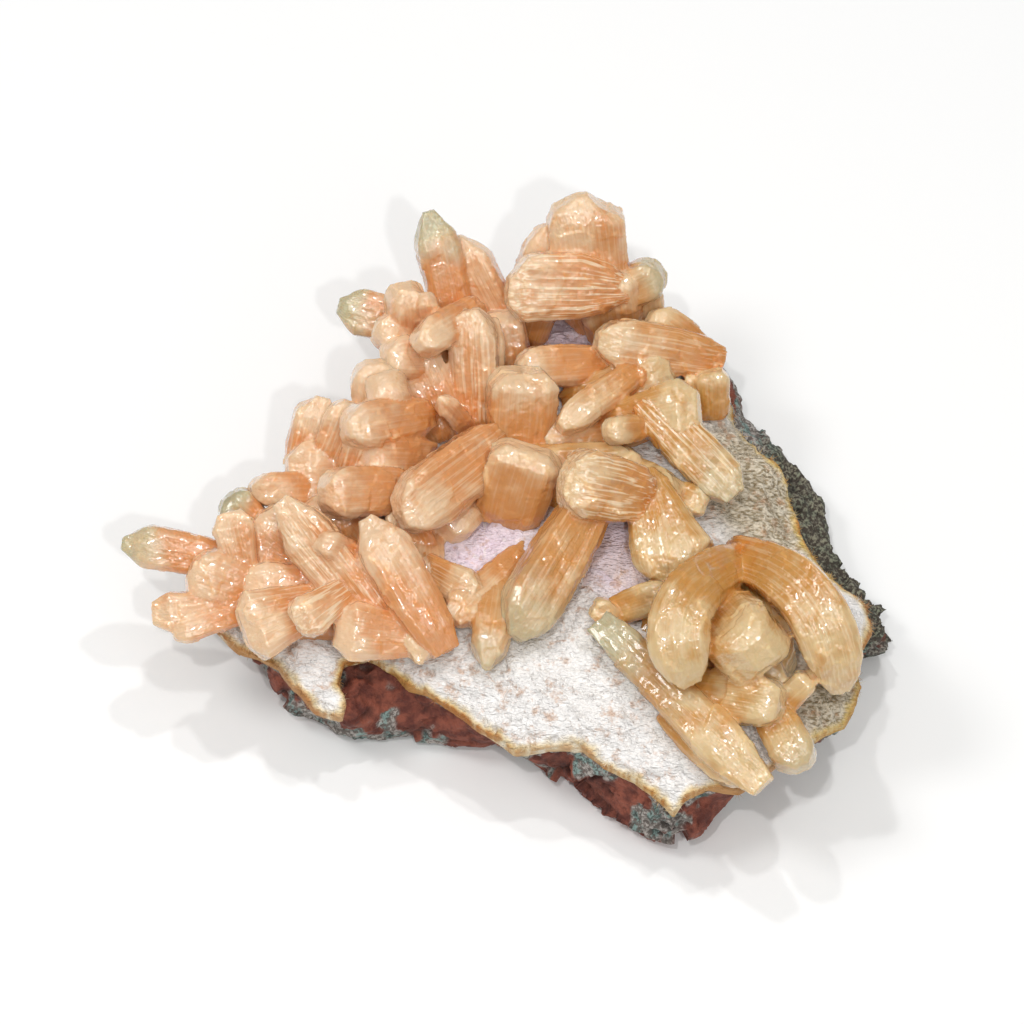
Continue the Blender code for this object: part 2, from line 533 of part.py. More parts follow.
def main():
    clear_scene()
    parts = make_collection("stilbite_with_mordenite")
    tools = make_collection("cutters")
    rim = plan(CRUST_RIM, EDGE_HEIGHT)
    basalt = make_material("basalt", *COLOURS["basalt_matrix"])
    mordenite = make_material("mordenite", *COLOURS["mordenite_crust"])
    stilbite = make_material("stilbite", *COLOURS["stilbite"])
    build_basalt(rim, parts, tools).data.materials.append(basalt)
    build_crust(rim, parts, tools).data.materials.append(mordenite)
    crowded = dict(CROWDED)
    for name, blades in GROUPS.items():
        neighbours = [blade for other in crowded.get(name, ()) for blade in GROUPS[other]]
        group = build_group(name, blades, neighbours, rim, parts, tools)
        group.data.materials.clear()
        group.data.materials.append(stilbite)


main()
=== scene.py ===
# %% [markdown]
# # Stilbite with mordenite on basalt
# This lesson dresses a mineral specimen that is 77 mm wide. A slab of basalt carries a thin felt of
# mordenite fibres, and sheaves of peach-coloured stilbite have grown on the felt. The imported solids
# give the places and the sizes; the cells below make the surfaces that the eye sees.

import itertools
import json
import math
from collections import namedtuple

import bpy
import numpy as np
from mathutils import Matrix, Vector
from mathutils.bvhtree import BVHTree
from mathutils.kdtree import KDTree

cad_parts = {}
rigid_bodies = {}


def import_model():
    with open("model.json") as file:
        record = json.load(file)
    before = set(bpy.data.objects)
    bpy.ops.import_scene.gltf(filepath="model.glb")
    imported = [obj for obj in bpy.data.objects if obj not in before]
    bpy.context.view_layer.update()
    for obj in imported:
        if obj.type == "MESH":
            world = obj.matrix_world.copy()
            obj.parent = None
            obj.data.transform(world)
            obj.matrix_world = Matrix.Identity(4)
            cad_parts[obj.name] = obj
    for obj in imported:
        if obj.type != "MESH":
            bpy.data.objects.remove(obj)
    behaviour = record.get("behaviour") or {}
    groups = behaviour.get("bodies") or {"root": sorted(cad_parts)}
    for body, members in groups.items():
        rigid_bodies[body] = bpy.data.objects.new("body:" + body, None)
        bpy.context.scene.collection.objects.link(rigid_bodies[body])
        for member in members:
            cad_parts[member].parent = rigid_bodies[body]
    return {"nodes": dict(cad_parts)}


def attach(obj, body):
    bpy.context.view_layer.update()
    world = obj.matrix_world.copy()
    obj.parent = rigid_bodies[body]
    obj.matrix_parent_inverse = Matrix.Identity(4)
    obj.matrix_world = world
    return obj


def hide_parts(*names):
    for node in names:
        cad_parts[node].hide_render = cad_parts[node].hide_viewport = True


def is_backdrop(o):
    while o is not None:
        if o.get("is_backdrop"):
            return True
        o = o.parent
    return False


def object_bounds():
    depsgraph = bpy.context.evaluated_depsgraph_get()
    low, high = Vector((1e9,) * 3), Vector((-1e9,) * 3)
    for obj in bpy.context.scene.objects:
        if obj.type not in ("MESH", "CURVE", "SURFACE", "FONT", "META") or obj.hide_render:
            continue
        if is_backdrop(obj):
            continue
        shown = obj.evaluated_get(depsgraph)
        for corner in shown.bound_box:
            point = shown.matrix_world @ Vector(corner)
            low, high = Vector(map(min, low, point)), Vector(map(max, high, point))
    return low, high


# A new file may hold a cube, a lamp and a camera, which are no part of this scene.
for item in list(bpy.data.objects):
    bpy.data.objects.remove(item)
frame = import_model()
MM = 0.001
cad_low, cad_high = (np.array(corner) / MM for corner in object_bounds())
print("solids in millimetres:", cad_low.round(1), cad_high.round(1))

# %% [markdown]
# ## Where things are
# The specimen was measured as it is seen from 60 degrees above the table, so a spot is given as
# millimetres across and up in that view and as a height above the table. One function turns such a
# spot into a point of the model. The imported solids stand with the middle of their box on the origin.

# %% Turn a seen spot into a point
VIEW_TILT = math.radians(60)
VIEW_LEVEL = 13.0
BOX_MIDDLE = Vector((-0.116, -0.46, 0.0))
TO_VIEWER = np.array((0, -math.cos(VIEW_TILT), math.sin(VIEW_TILT)))


def spot(across, up, height):
    """A place in the tilted view, as a point of the model in millimetres."""
    back = (up - (height - VIEW_LEVEL) * math.cos(VIEW_TILT)) / math.sin(VIEW_TILT)
    return np.array((across, back, height)) - np.array(BOX_MIDDLE)


print("the view's middle is at", spot(0, 0, VIEW_LEVEL).round(2))

# %% [markdown]
# ## Camera, light and floor
# A collector photographs such a piece from well above, with a long lens from some way off, so that
# nothing near looks swollen. Broad soft lamps keep the shadows open. Four small ones give the hard
# little glints by which one knows a glassy mineral.

# %% Place the camera
FRAME_WIDTH = 102.4
LENS = 150.0
SENSOR = 36.0

put_at = Vector(spot(0, 0, VIEW_LEVEL)) * MM
camera_data = bpy.data.cameras.new("camera")
camera_data.lens = LENS
camera_data.sensor_width = SENSOR
camera_data.clip_start = 0.01
camera = bpy.data.objects.new("camera", camera_data)
bpy.context.scene.collection.objects.link(camera)
camera.location = put_at + Vector(TO_VIEWER) * FRAME_WIDTH * MM * LENS / SENSOR
camera.rotation_euler = (put_at - camera.location).to_track_quat("-Z", "Y").to_euler()
bpy.context.scene.camera = camera
print("camera at", [round(value, 3) for value in camera.location])

# %% Hang the lamps
SKY_STRENGTH = 0.25

Lamp = namedtuple("Lamp", "name place width power")
LAMPS = [
    Lamp("overhead", (0.02, -0.12, 0.60), 0.45, 0.60),
    Lamp("key", (-0.28, 0.02, 0.45), 0.12, 0.58),
    Lamp("fill", (0.30, -0.35, 0.30), 0.35, 0.22),
    Lamp("glint_left", (-0.08, 0.22, 0.50), 0.022, 0.40),
    Lamp("glint_right", (0.14, 0.12, 0.50), 0.022, 0.40),
    Lamp("glint_front", (-0.07, -0.18, 0.52), 0.016, 0.46),
    Lamp("glint_near", (0.07, -0.30, 0.46), 0.016, 0.46),
]
for lamp in LAMPS:
    light = bpy.data.lights.new(lamp.name, "AREA")
    light.size = lamp.width
    light.energy = lamp.power
    holder = bpy.data.objects.new(lamp.name, light)
    holder.location = lamp.place
    holder.rotation_euler = (put_at - holder.location).to_track_quat("-Z", "Y").to_euler()
    bpy.context.scene.collection.objects.link(holder)

world = bpy.data.worlds.new("studio")
bpy.context.scene.world = world
world.use_nodes = True
sky = world.node_tree.nodes["Background"]
sky.inputs["Color"].default_value = (1, 1, 1, 1)
sky.inputs["Strength"].default_value = SKY_STRENGTH
bpy.context.scene.view_settings.view_transform = "Standard"
print(len(LAMPS), "lamps")

# %% [markdown]
# ## Colours and nodes
# Paint charts and screens give colours as sRGB hex values, while the renderer counts light in linear
# steps. One function turns the first into the second. Another adds a node, sets it and links it, so
# that each material below reads as a list of what lies on what.

# %% Colour and node helpers


def colour(hex_value):
    """A linear colour from an sRGB hex value such as E8B07F."""
    parts = [int(hex_value[place:place + 2], 16) / 255 for place in (0, 2, 4)]
    return (*[part / 12.92 if part <= 0.04045 else ((part + 0.055) / 1.055) ** 2.4 for part in parts], 1)


def node(tree, kind, settings=None, inputs=None):
    """Adds a node, sets its properties, and fills or links its inputs."""
    made = tree.nodes.new(kind)
    for name, value in (settings or {}).items():
        setattr(made, name, value)
    for name, value in (inputs or {}).items():
        if isinstance(value, bpy.types.NodeSocket):
            tree.links.new(value, made.inputs[name])
        else:
            made.inputs[name].default_value = value
    return made


def blend(tree, share, under, over):
    """A colour between two others, by a share from 0 to 1."""
    mix = node(tree, "ShaderNodeMix", {"data_type": "RGBA"}, {"Factor": share, "A": under, "B": over})
    return mix.outputs["Result"]


def maths(tree, operation, first, second):
    made = node(tree, "ShaderNodeMath", {"operation": operation}, {0: first, 1: second})
    return made.outputs["Value"]


def ramp(tree, value, low, high):
    """A value that rises smoothly from 0 at low to 1 at high."""
    step = node(tree, "ShaderNodeMapRange", {"interpolation_type": "SMOOTHSTEP"},
                {"Value": value, "From Min": low, "From Max": high})
    return step.outputs["Result"]


def new_material(name):
    material = bpy.data.materials.new(name)
    material.use_nodes = True
    return material, material.node_tree, material.node_tree.nodes["Principled BSDF"]


def set_inputs(tree, shader, inputs):
    for name, value in inputs.items():
        if isinstance(value, bpy.types.NodeSocket):
            tree.links.new(value, shader.inputs[name])
        else:
            shader.inputs[name].default_value = value


print("peach in linear light:", [round(part, 3) for part in colour("E8B07F")])

# %% [markdown]
# ### The floor
# The specimen stands on a sheet of matt white card, as for a catalogue picture. A curved sweep is the
# usual studio answer, but from so high above its bend would never show, so one wide plane does.

# %% Lay the floor
# Card: pressed paper with a matt face. The eye gets an even, nearly white ground without a gloss.
FLOOR_SIZE = 3.0

bpy.ops.object.select_all(action="DESELECT")
bpy.ops.mesh.primitive_plane_add(size=FLOOR_SIZE, location=(0, 0, 0))
floor = bpy.context.object
floor.name = "floor"
card, tree, shader = new_material("white_card")
set_inputs(tree, shader, {"Base Color": colour("F7F7F6"), "Roughness": 0.9})
floor.data.materials.append(card)
floor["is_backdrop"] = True
print("floor:", FLOOR_SIZE, "m wide")

# %% [markdown]
# ## Roughness made by rule
# Stone, felt and crystal all need swells and pits of a known size. A lattice of fixed random values,
# smoothed between its points, gives swells about as wide as its cells, and it is the same on every
# run. numpy works it out for a whole mesh at once.

# %% Random swells over space
STRIDES = np.array((73856093, 19349663, 83492791))
SCRAMBLE = 1274126177
MASK = 0x7FFFFFFF


def lattice(cell, seed):
    """A fixed random value from -1 to 1 for each cell of space."""
    key = (cell * STRIDES).sum(axis=1) + seed * 97561
    key = ((key ^ (key >> 13)) * SCRAMBLE) & MASK
    key = ((key ^ (key >> 15)) * SCRAMBLE) & MASK
    return (key >> 8 & 0xFFFF) / 32767.5 - 1


def swell(points, size, seed):
    """Smooth random values over space, with swells about as wide as size."""
    place = points / size + 0.37 * seed
    cell = np.floor(place).astype(np.int64)
    part = place - cell
    part = part * part * (3 - 2 * part)
    total = np.zeros(len(points))
    for corner in itertools.product((0, 1), repeat=3):
        weight = np.where(np.array(corner), part, 1 - part).prod(axis=1)
        total += weight * lattice(cell + np.array(corner), seed)
    return total


def smooth_step(values, low, high):
    share = np.clip((values - low) / (high - low), 0, 1)
    return share * share * (3 - 2 * share)


print("swell at the origin:", swell(np.zeros((1, 3)), 1.0, 1).round(3))

# %% [markdown]
# ## Tools for meshes
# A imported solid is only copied, never changed, and the copy is worked on. Points are read into numpy,
# moved there all at once and written back, which is far quicker than one at a time. What a material
# has to know about a place, such as its distance from a rim, is stored as a number on each point.

# %% Pick, copy and modify


def deselect():
    bpy.ops.object.select_all(action="DESELECT")


def pick(item):
    """Makes one object the selected and active one."""
    deselect()
    item.select_set(True)
    bpy.context.view_layer.objects.active = item


def copy_of(name, title):
    """A merged copy of a solid, to be worked on."""
    item = frame["nodes"][name].copy()
    item.data = item.data.copy()
    item.name = item.data.name = title
    item.parent = None
    for key in list(item.keys()):
        del item[key]
    bpy.context.scene.collection.objects.link(item)
    pick(item)
    bpy.ops.object.mode_set(mode="EDIT")
    bpy.ops.mesh.select_all(action="SELECT")
    bpy.ops.mesh.remove_doubles(threshold=1e-5)
    bpy.ops.object.mode_set(mode="OBJECT")
    return item


def apply_modifier(item, kind, **settings):
    pick(item)
    modifier = item.modifiers.new(kind.lower(), kind)
    for name, value in settings.items():
        setattr(modifier, name, value)
    bpy.ops.object.modifier_apply(modifier=modifier.name)


def thin_out(item, hidden, kept):
    """Melts faces away among the hidden points, until a share of all faces is kept."""
    group = item.vertex_groups.new(name="hidden")
    group.add(np.flatnonzero(hidden).tolist(), 1.0, "REPLACE")
    apply_modifier(item, "DECIMATE", ratio=kept, vertex_group="hidden")
    item.vertex_groups.clear()


print("a copy starts from", len(frame["nodes"]), "packed solids")

# %% Read and write points


def points_of(item):
    """A mesh's points in millimetres."""
    flat = np.empty(len(item.data.vertices) * 3, np.float32)
    item.data.vertices.foreach_get("co", flat)
    return flat.reshape(-1, 3).astype(float) / MM


def normals_of(item):
    flat = np.empty(len(item.data.vertices) * 3, np.float32)
    item.data.vertex_normals.foreach_get("vector", flat)
    return flat.reshape(-1, 3).astype(float)


def move_points(item, points):
    item.data.vertices.foreach_set("co", (points * MM).astype(np.float32).ravel())
    item.data.update()


def give_values(item, name, values):
    """Stores one number for each point, for the material to read."""
    layer = item.data.attributes.new(name, "FLOAT", "POINT")
    layer.data.foreach_set("value", values.astype(np.float32))


def give_places(item, name, places):
    layer = item.data.attributes.new(name, "FLOAT_VECTOR", "POINT")
    layer.data.foreach_set("vector", places.astype(np.float32).ravel())


def keep_in_box(points):
    return np.clip(points, cad_low, cad_high)


print("points are kept within", (cad_high - cad_low).round(1), "mm")

# %% Finish a piece


def finish_piece(item, material, slot, *nodes):
    item.data.materials.clear()
    item.data.materials.append(material)
    pick(item)
    bpy.ops.object.shade_smooth()
    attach(item, "root")
    if nodes:
        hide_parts(*nodes)
    print(item.name, len(item.data.polygons), "faces")


# %% [markdown]
# ## Basalt
# Basalt is a lava that cooled to a fine dark rock; this one has rusted to red-brown, and where air
# and water reached it longest it is grey and blue-green with celadonite. A hammer leaves it in flat
# chips with gritty faces and a few round gas holes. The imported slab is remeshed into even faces,
# then chips, grit and holes are pressed into it, and no point leaves the box of the solids.
#
# The felt lies on the slab like a skin, and where it ends decides what is seen of the rock. So the
# felt is looked at from above first: rays find its height on a fine grid, and from the grid each
# place gets its distance from the rim. Painting such a mask by hand is the other way.

# %% Read the height of the felt
MAP_STEP = 0.25
RAY_START = 60

crust_node = frame["nodes"]["mordenite_crust"]
crust_bvh = BVHTree.FromPolygons([vert.co / MM for vert in crust_node.data.vertices],
                                 [face.vertices[:] for face in crust_node.data.polygons])
map_x = np.arange(cad_low[0], cad_high[0] + MAP_STEP, MAP_STEP)
map_y = np.arange(cad_low[1], cad_high[1] + MAP_STEP, MAP_STEP)
felt_map = np.zeros((len(map_x), len(map_y)))
for column, x in enumerate(map_x):
    for row, y in enumerate(map_y):
        hit = crust_bvh.ray_cast(Vector((x, y, RAY_START)), Vector((0, 0, -1)))[0]
        felt_map[column, row] = hit.z if hit else 0
print("height map:", felt_map.shape, "cells")

# %% Measure how far the felt reaches past each place
RIM_REACH = 3.0

rim_map = np.where(felt_map == 0, 0, RIM_REACH)
steps = range(-round(RIM_REACH / MAP_STEP), round(RIM_REACH / MAP_STEP) + 1)
for over, down in itertools.product(steps, steps):
    moved = np.roll(felt_map == 0, (over, down), (0, 1))
    rim_map[moved] = np.minimum(rim_map[moved], math.hypot(over, down) * MAP_STEP)


def read_map(height_map, points):
    """Values of a map at points, blended between its cells."""
    place = (points[:, :2] - (map_x[0], map_y[0])) / MAP_STEP
    place = np.clip(place, 0, np.array(height_map.shape) - 1.001)
    cell = place.astype(int)
    (part_x, part_y), (column, row) = (place - cell).T, cell.T
    near = height_map[column, row] * (1 - part_x) + height_map[column + 1, row] * part_x
    far = height_map[column, row + 1] * (1 - part_x) + height_map[column + 1, row + 1] * part_x
    return near * (1 - part_y) + far * part_y


def inside_rim(points):
    """How far points lie inside the felt's rim, seen from above, in millimetres."""
    return read_map(rim_map, points)


print("felt from", felt_map[felt_map > 0].min().round(2), "to", felt_map.max().round(2), "mm")

# %% [markdown]
# ### Chip the slab
# A sculptor would carve the facets one by one. Here each point slides onto the tilted plane of its
# nearest seed, so that flat chips meet in crisp edges all over, in a large and in a small size. Faces
# that the felt hides, or that lie underneath, are melted away first, to spare them for what shows.

# %% Remesh the slab, finer where it shows
ROCK_VOXEL = 0.23
ROCK_KEPT = 0.55
UNDER_FELT = 2.5
UNDERSIDE = 0.1

rock = copy_of("basalt_matrix", "basalt_slab")
apply_modifier(rock, "REMESH", mode="VOXEL", voxel_size=ROCK_VOXEL * MM)
points = points_of(rock)
thin_out(rock, (inside_rim(points) > UNDER_FELT) | (points[:, 2] < UNDERSIDE), ROCK_KEPT)
print("basalt slab:", len(rock.data.polygons), "faces")

# %% Chip the slab
# Each is how far apart the chips are, in millimetres, and how steeply they are tilted.
COARSE_CHIPS = (3.6, 0.30)
FINE_CHIPS = (1.3, 0.19)


def chips(points, spacing, tilt, random):
    """Flat facets at random tilts: each point follows the plane of its nearest seed."""
    room = (cad_high - cad_low + 4).prod()
    seeds = random.uniform(cad_low - 2, cad_high + 2, (int(room / spacing ** 3), 3))
    planes = random.normal(size=seeds.shape)
    planes /= np.linalg.norm(planes, axis=1)[:, None]
    seed_tree = KDTree(len(seeds))
    for number, seed in enumerate(seeds):
        seed_tree.insert(seed, number)
    seed_tree.balance()
    nearest = np.array([seed_tree.find(point)[1] for point in points])
    return ((points - seeds[nearest]) * planes[nearest]).sum(axis=1) * tilt


points, normals = points_of(rock), normals_of(rock)
random = np.random.default_rng(11)
warped = points + 0.3 * np.column_stack([swell(points, 0.9, seed) for seed in (5, 6, 7)])
move = 0.9 * chips(warped, *COARSE_CHIPS, random) + chips(warped, *FINE_CHIPS, random)
move += 0.08 * swell(points, 0.8, 3) + 0.05 * swell(points, 0.42, 4)
print("chips move the face by", move.min().round(2), "to", move.max().round(2), "mm")

# %% [markdown]
# ### Fresh breaks and gas holes
# Where a piece came off lately, the rock is smoother and rust-red, so its relief is shallower there.
# The gas bubbles of the lava left round holes. A hole could be cut with a ball and a Boolean, but 900
# cuts take long, so every point within a hole's reach sinks by the depth of a bowl instead.

# %% Where the break is fresh
FRESH_BREAKS = [(spot(-9.0, -17.0, 8.0), 8.5), (spot(-3.0, -19.5, 7.0), 5.0), (spot(13.0, -27.0, 5.0), 4.0),
                (spot(20.5, -28.5, 5.0), 4.0), (spot(-21.0, -16.0, 6.0), 4.0)]


def nearness(points, place_and_size):
    """1 at a place, falling to 0 at a distance."""
    place, size = place_and_size
    return 1 - smooth_step(np.linalg.norm((points - place) * (1, 1, 0.6), axis=1), 0.35 * size, size)


fresh = np.clip(sum(nearness(points, place) for place in FRESH_BREAKS), 0, 1)
print("fresh break on", (fresh > 0.5).sum(), "points")

# %% Sink the gas holes and set the slab down
HOLE_COUNT = 900

hole_centres = points[random.integers(0, len(points), HOLE_COUNT)]
hole_sizes = random.uniform(0.3, 0.75, HOLE_COUNT)
tree_of_points = KDTree(len(points))
for number, point in enumerate(points):
    tree_of_points.insert(point, number)
tree_of_points.balance()
for centre, size in zip(hole_centres, hole_sizes):
    for _, number, gap in tree_of_points.find_range(centre, size):
        move[number] -= 0.8 * size * (1 - (gap / size) ** 2)
move = np.clip(move, -1.3, 0.7) * (1 - 0.6 * fresh)
move *= smooth_step(points[:, 2], 0.0, 0.8) * (1 - 0.7 * smooth_step(inside_rim(points), 0.5, 1.5))
move_points(rock, keep_in_box(points + normals * move[:, None]))
print("with its holes the face moves by", move.min().round(2), "to", move.max().round(2), "mm")

# %% [markdown]
# ### The finish of basalt
# Weathering is a matter of place: the rims and the right flank of the slab have lain open, while the
# hollow at the front left is a fresh rusty break. Soft patches of each are stored on the points.
# Two stones meet in them, rust and grey with blue-green, and the right flank is drawn darker and olive
# on top. Noise mottles each and gives the grit as a bump, since single grains are far too small for the mesh.

# %% Map the weathering
RIGHT_FLANK = (spot(33.0, -2.0, 7.0), 18.0)

patches = 0.5 * swell(points, 4.2, 21) + 0.45 * swell(points, 1.9, 22) + 0.3 * swell(points, 0.9, 23)
flank = nearness(points, RIGHT_FLANK)
give_values(rock, "weathered", smooth_step(patches + 0.4 * flank - 0.45 * fresh + 0.17, -0.04, 0.10))
# Darker and more olive towards the right flank.
give_values(rock, "flank", smooth_step(flank + 0.3 * patches, 0.2, 0.6))
# Painted shade: pits and gas holes are darkened by how deep the face is pressed in.
give_values(rock, "hollow_shade", smooth_step(-move + 0.1 * patches, 0.1, 0.8))
print("old flank on", (flank > 0.5).sum(), "points")

# %% Basalt material
# Basalt: a fine rock, broken and rusted. The eye gets a dry, dull, gritty face with mottled colour.
# Its grains are under a tenth of a millimetre; they are drawn coarser, so that they show at all.
GRAIN = 1 / (0.40 * MM)
BLOTCH = 1 / (1.6 * MM)

basalt, tree, shader = new_material("rusted_basalt")
place = node(tree, "ShaderNodeTexCoord").outputs["Object"]
grains = node(tree, "ShaderNodeTexNoise",
              inputs={"Vector": place, "Scale": GRAIN, "Detail": 2.0, "Roughness": 0.65}).outputs["Fac"]
blotches = node(tree, "ShaderNodeTexNoise",
                inputs={"Vector": place, "Scale": BLOTCH, "Detail": 4.0, "Roughness": 0.6}).outputs["Fac"]
fields = {name: node(tree, "ShaderNodeAttribute", {"attribute_name": name}).outputs["Fac"]
          for name in ("weathered", "flank", "hollow_shade")}
rust = blend(tree, ramp(tree, blotches, 0.35, 0.65), colour("5E2B20"), colour("93503C"))
grey = blend(tree, ramp(tree, grains, 0.42, 0.62), colour("6A625B"), colour("B9B1AA"))
green = blend(tree, ramp(tree, grains, 0.42, 0.62), colour("4C5A55"), colour("8CA39D"))
skin = blend(tree, ramp(tree, blotches, 0.50, 0.58), grey, green)
dark = blend(tree, ramp(tree, grains, 0.45, 0.66), colour("352B1D"), colour("87846A"))
stone = blend(tree, fields["weathered"], rust, skin)
# The right flank is drawn darker and more olive.
stone = blend(tree, maths(tree, "MULTIPLY", fields["flank"], 0.85), stone, dark)
# Painted shade: the pressed-in pits and gas holes are mixed towards near black.
stone = blend(tree, maths(tree, "MULTIPLY", fields["hollow_shade"], 0.6), stone, colour("1C130F"))
relief = node(tree, "ShaderNodeBump", inputs={"Height": grains, "Strength": 1.0, "Distance": 0.25 * MM})
set_inputs(tree, shader, {
    "Base Color": stone, "Roughness": 0.8, "IOR": 1.55, "Normal": relief.outputs["Normal"],
})
finish_piece(rock, basalt, "basalt", "basalt_matrix")

# %% [markdown]
# ## Mordenite felt
# Mordenite grows as hairs finer than cotton. Thousands of them mat into a white felt, lilac where
# the light is cool, specked with rust, and stained yellow to brown along its broken rim. A mat can
# be a smooth sheet with a pattern on it, but the eye looks for real hairs at its edge. So the
# packed sheet is remeshed and roughened first, and sprays of hairs are set on it afterwards.

# %% Remesh the felt, finer where it shows
FELT_VOXEL = 0.21
FELT_KEPT = 0.50

felt = copy_of("mordenite_crust", "mordenite_felt")
apply_modifier(felt, "REMESH", mode="VOXEL", voxel_size=FELT_VOXEL * MM)
thin_out(felt, normals_of(felt)[:, 2] < -0.3, FELT_KEPT)
print("felt:", len(felt.data.polygons), "faces")

# %% Roughen the felt
COMB_TURN = math.radians(-42)
COMB_STRETCH = (0.38, 1.0, 1.0)

points, normals = points_of(felt), normals_of(felt)
warped = points + 1.2 * np.column_stack([swell(points, 5.0, seed) for seed in (34, 35, 36)])
combed = warped @ np.array(Matrix.Rotation(COMB_TURN, 3, "Z")) * COMB_STRETCH
tufts = 0.18 * swell(points, 1.7, 31) + 0.24 * swell(combed, 0.55, 32) + 0.13 * swell(combed, 0.36, 33)
pits = 0.45 * smooth_step(swell(points, 1.0, 37), 0.35, 0.8)
upward = smooth_step(normals[:, 2], -0.2, 0.4)
move_points(felt, keep_in_box(points + normals * ((tufts - pits) * upward)[:, None]))
print("tufts from", tufts.min().round(2), "to", tufts.max().round(2), "mm")

# %% [markdown]
# ## Stilbite
# Stilbite grows as flat blades bundled like wheat in a sheaf. A blade's broad face is grooved along
# its length where the crystals of the bundle meet, its end is stepped, and its tip is paler and
# clearer than its orange root. Each blade here is one bar of its full outline with a few thin growth
# plates on its faces, all copies of one bar, bent to the blade's line. The copies of a cluster are
# then fused by a voxel remesh, as crystals that grow into each other are fused, and fine grooves are
# cut afterwards. Separate boxes would be quicker to make, but they would only pierce each other.

# %% Model one straight bar
RINGS = (0.0, 0.06, 0.1, 0.2, 0.3, 0.35, 0.42, 0.5, 0.58, 0.65, 0.72, 0.76, 0.80, 0.86, 0.9, 0.93, 0.97,
         1.0)
BAR_BEVEL = 0.30

deselect()
bpy.ops.mesh.primitive_cube_add(size=2, location=(0, 0, 0))
bar = bpy.context.object
bar.name = "bar"
bpy.ops.object.mode_set(mode="EDIT")
bpy.ops.mesh.select_all(action="DESELECT")
bpy.ops.object.mode_set(mode="OBJECT")
for edge in bar.data.edges:
    ends = [bar.data.vertices[number].co for number in edge.vertices]
    edge.select = abs(ends[0].z - ends[1].z) > 1
bpy.ops.object.mode_set(mode="EDIT")
bpy.ops.mesh.select_mode(type="EDGE")
bpy.ops.mesh.bevel(offset=BAR_BEVEL, segments=1)
for share in RINGS[1:-1]:
    bpy.ops.mesh.select_all(action="SELECT")
    bpy.ops.mesh.bisect(plane_co=(0, 0, 2 * share - 1), plane_no=(0, 0, 1))
bpy.ops.object.mode_set(mode="OBJECT")
bar_points = points_of(bar) * MM
bar_points[:, 2] = (bar_points[:, 2] + 1) / 2
print("bar:", len(bar_points), "points in", len(RINGS), "rings")

# %% [markdown]
# ### The shapes of the blades
# A habit is the outline of a blade, from root to tip: a share of its length, then how far it reaches
# to its left and its right and its thickness there. The blade table that follows has the same places
# as the imported solids, with words for the finish of each: how grooved it is, how clear its tip (or,
# below zero, its root) is, how orange (above zero) or pale it is, and how much it glitters, in its
# relief and by painted glints.

# %% Habits
HABITS = {
    "chisel": [(0, 0.70, 0.70, 0.80), (0.35, 0.92, 0.92, 1.0), (0.78, 1.0, 1.0, 1.0), (1, 0.45, 0.35, 0.30)],
    "house": [(0, 0.75, 0.75, 0.80), (0.40, 0.95, 0.95, 1.0), (0.72, 1.0, 1.0, 1.0), (1, 0.42, 0.50, 0.70)],
    "round": [(0, 0.75, 0.75, 0.80), (0.42, 0.96, 0.96, 1.0), (0.76, 1.0, 1.0, 1.0),
              (0.93, 0.84, 0.76, 0.90), (1, 0.50, 0.36, 0.62)],
    "arc": [(0, 0.40, 0.40, 0.45), (0.06, 0.72, 0.72, 0.80), (0.42, 0.96, 0.96, 1.0), (0.76, 1.0, 1.0, 1.0),
            (0.93, 0.84, 0.78, 0.88), (1, 0.48, 0.40, 0.60)],
    "fan": [(0, 0.45, 0.45, 0.60), (0.45, 0.74, 0.74, 0.85), (0.86, 1.0, 1.0, 1.0), (1, 0.78, 0.80, 0.50)],
    "block": [(0, 0.88, 0.88, 0.90), (0.50, 1.0, 1.0, 1.0), (0.92, 0.98, 1.0, 1.0), (1, 0.84, 0.84, 0.72)],
    "point": [(0, 0.75, 0.75, 0.80), (0.42, 1.0, 1.0, 1.0), (0.76, 0.74, 0.74, 0.85), (1, 0.22, 0.24, 0.28)],
    "plate": [(0, 0.85, 0.90, 0.90), (0.50, 1.0, 1.0, 1.0), (0.88, 0.96, 0.92, 1.0), (1, 0.55, 0.75, 0.60)],
    "crown": [(0, 0.85, 0.70, 0.80), (0.50, 1.05, 0.90, 1.0), (0.80, 0.93, 1.0, 1.0),
              (0.93, 0.86, 0.46, 0.80), (1, 0.14, 0.26, 0.40)],
    "shield": [(0, 0.36, 0.60, 0.80), (0.40, 0.70, 1.0, 1.0), (0.72, 0.78, 0.95, 1.0),
               (0.88, 0.84, 0.84, 0.95), (1, 0.55, 0.42, 0.70)],
    "drape": [(0, 0.35, 0.35, 0.60), (0.48, 0.76, 0.70, 0.90), (0.78, 1.08, 0.78, 1.0),
              (0.92, 0.62, 0.60, 0.85), (1, 0.25, 0.25, 0.45)],
    "spindle": [(0, 0.72, 0.72, 0.85), (0.38, 0.82, 0.80, 1.0), (0.74, 1.0, 1.0, 1.0), (1, 0.66, 0.80, 0.60)],
}
print(len(HABITS), "habits")

# %% The blades of each cluster
Blade = namedtuple("Blade", "root tip width thick habit turn via ribs clear heat frost",
                   defaults=("chisel", 0, None, 0.5, 0.0, 0.0, 0.1))

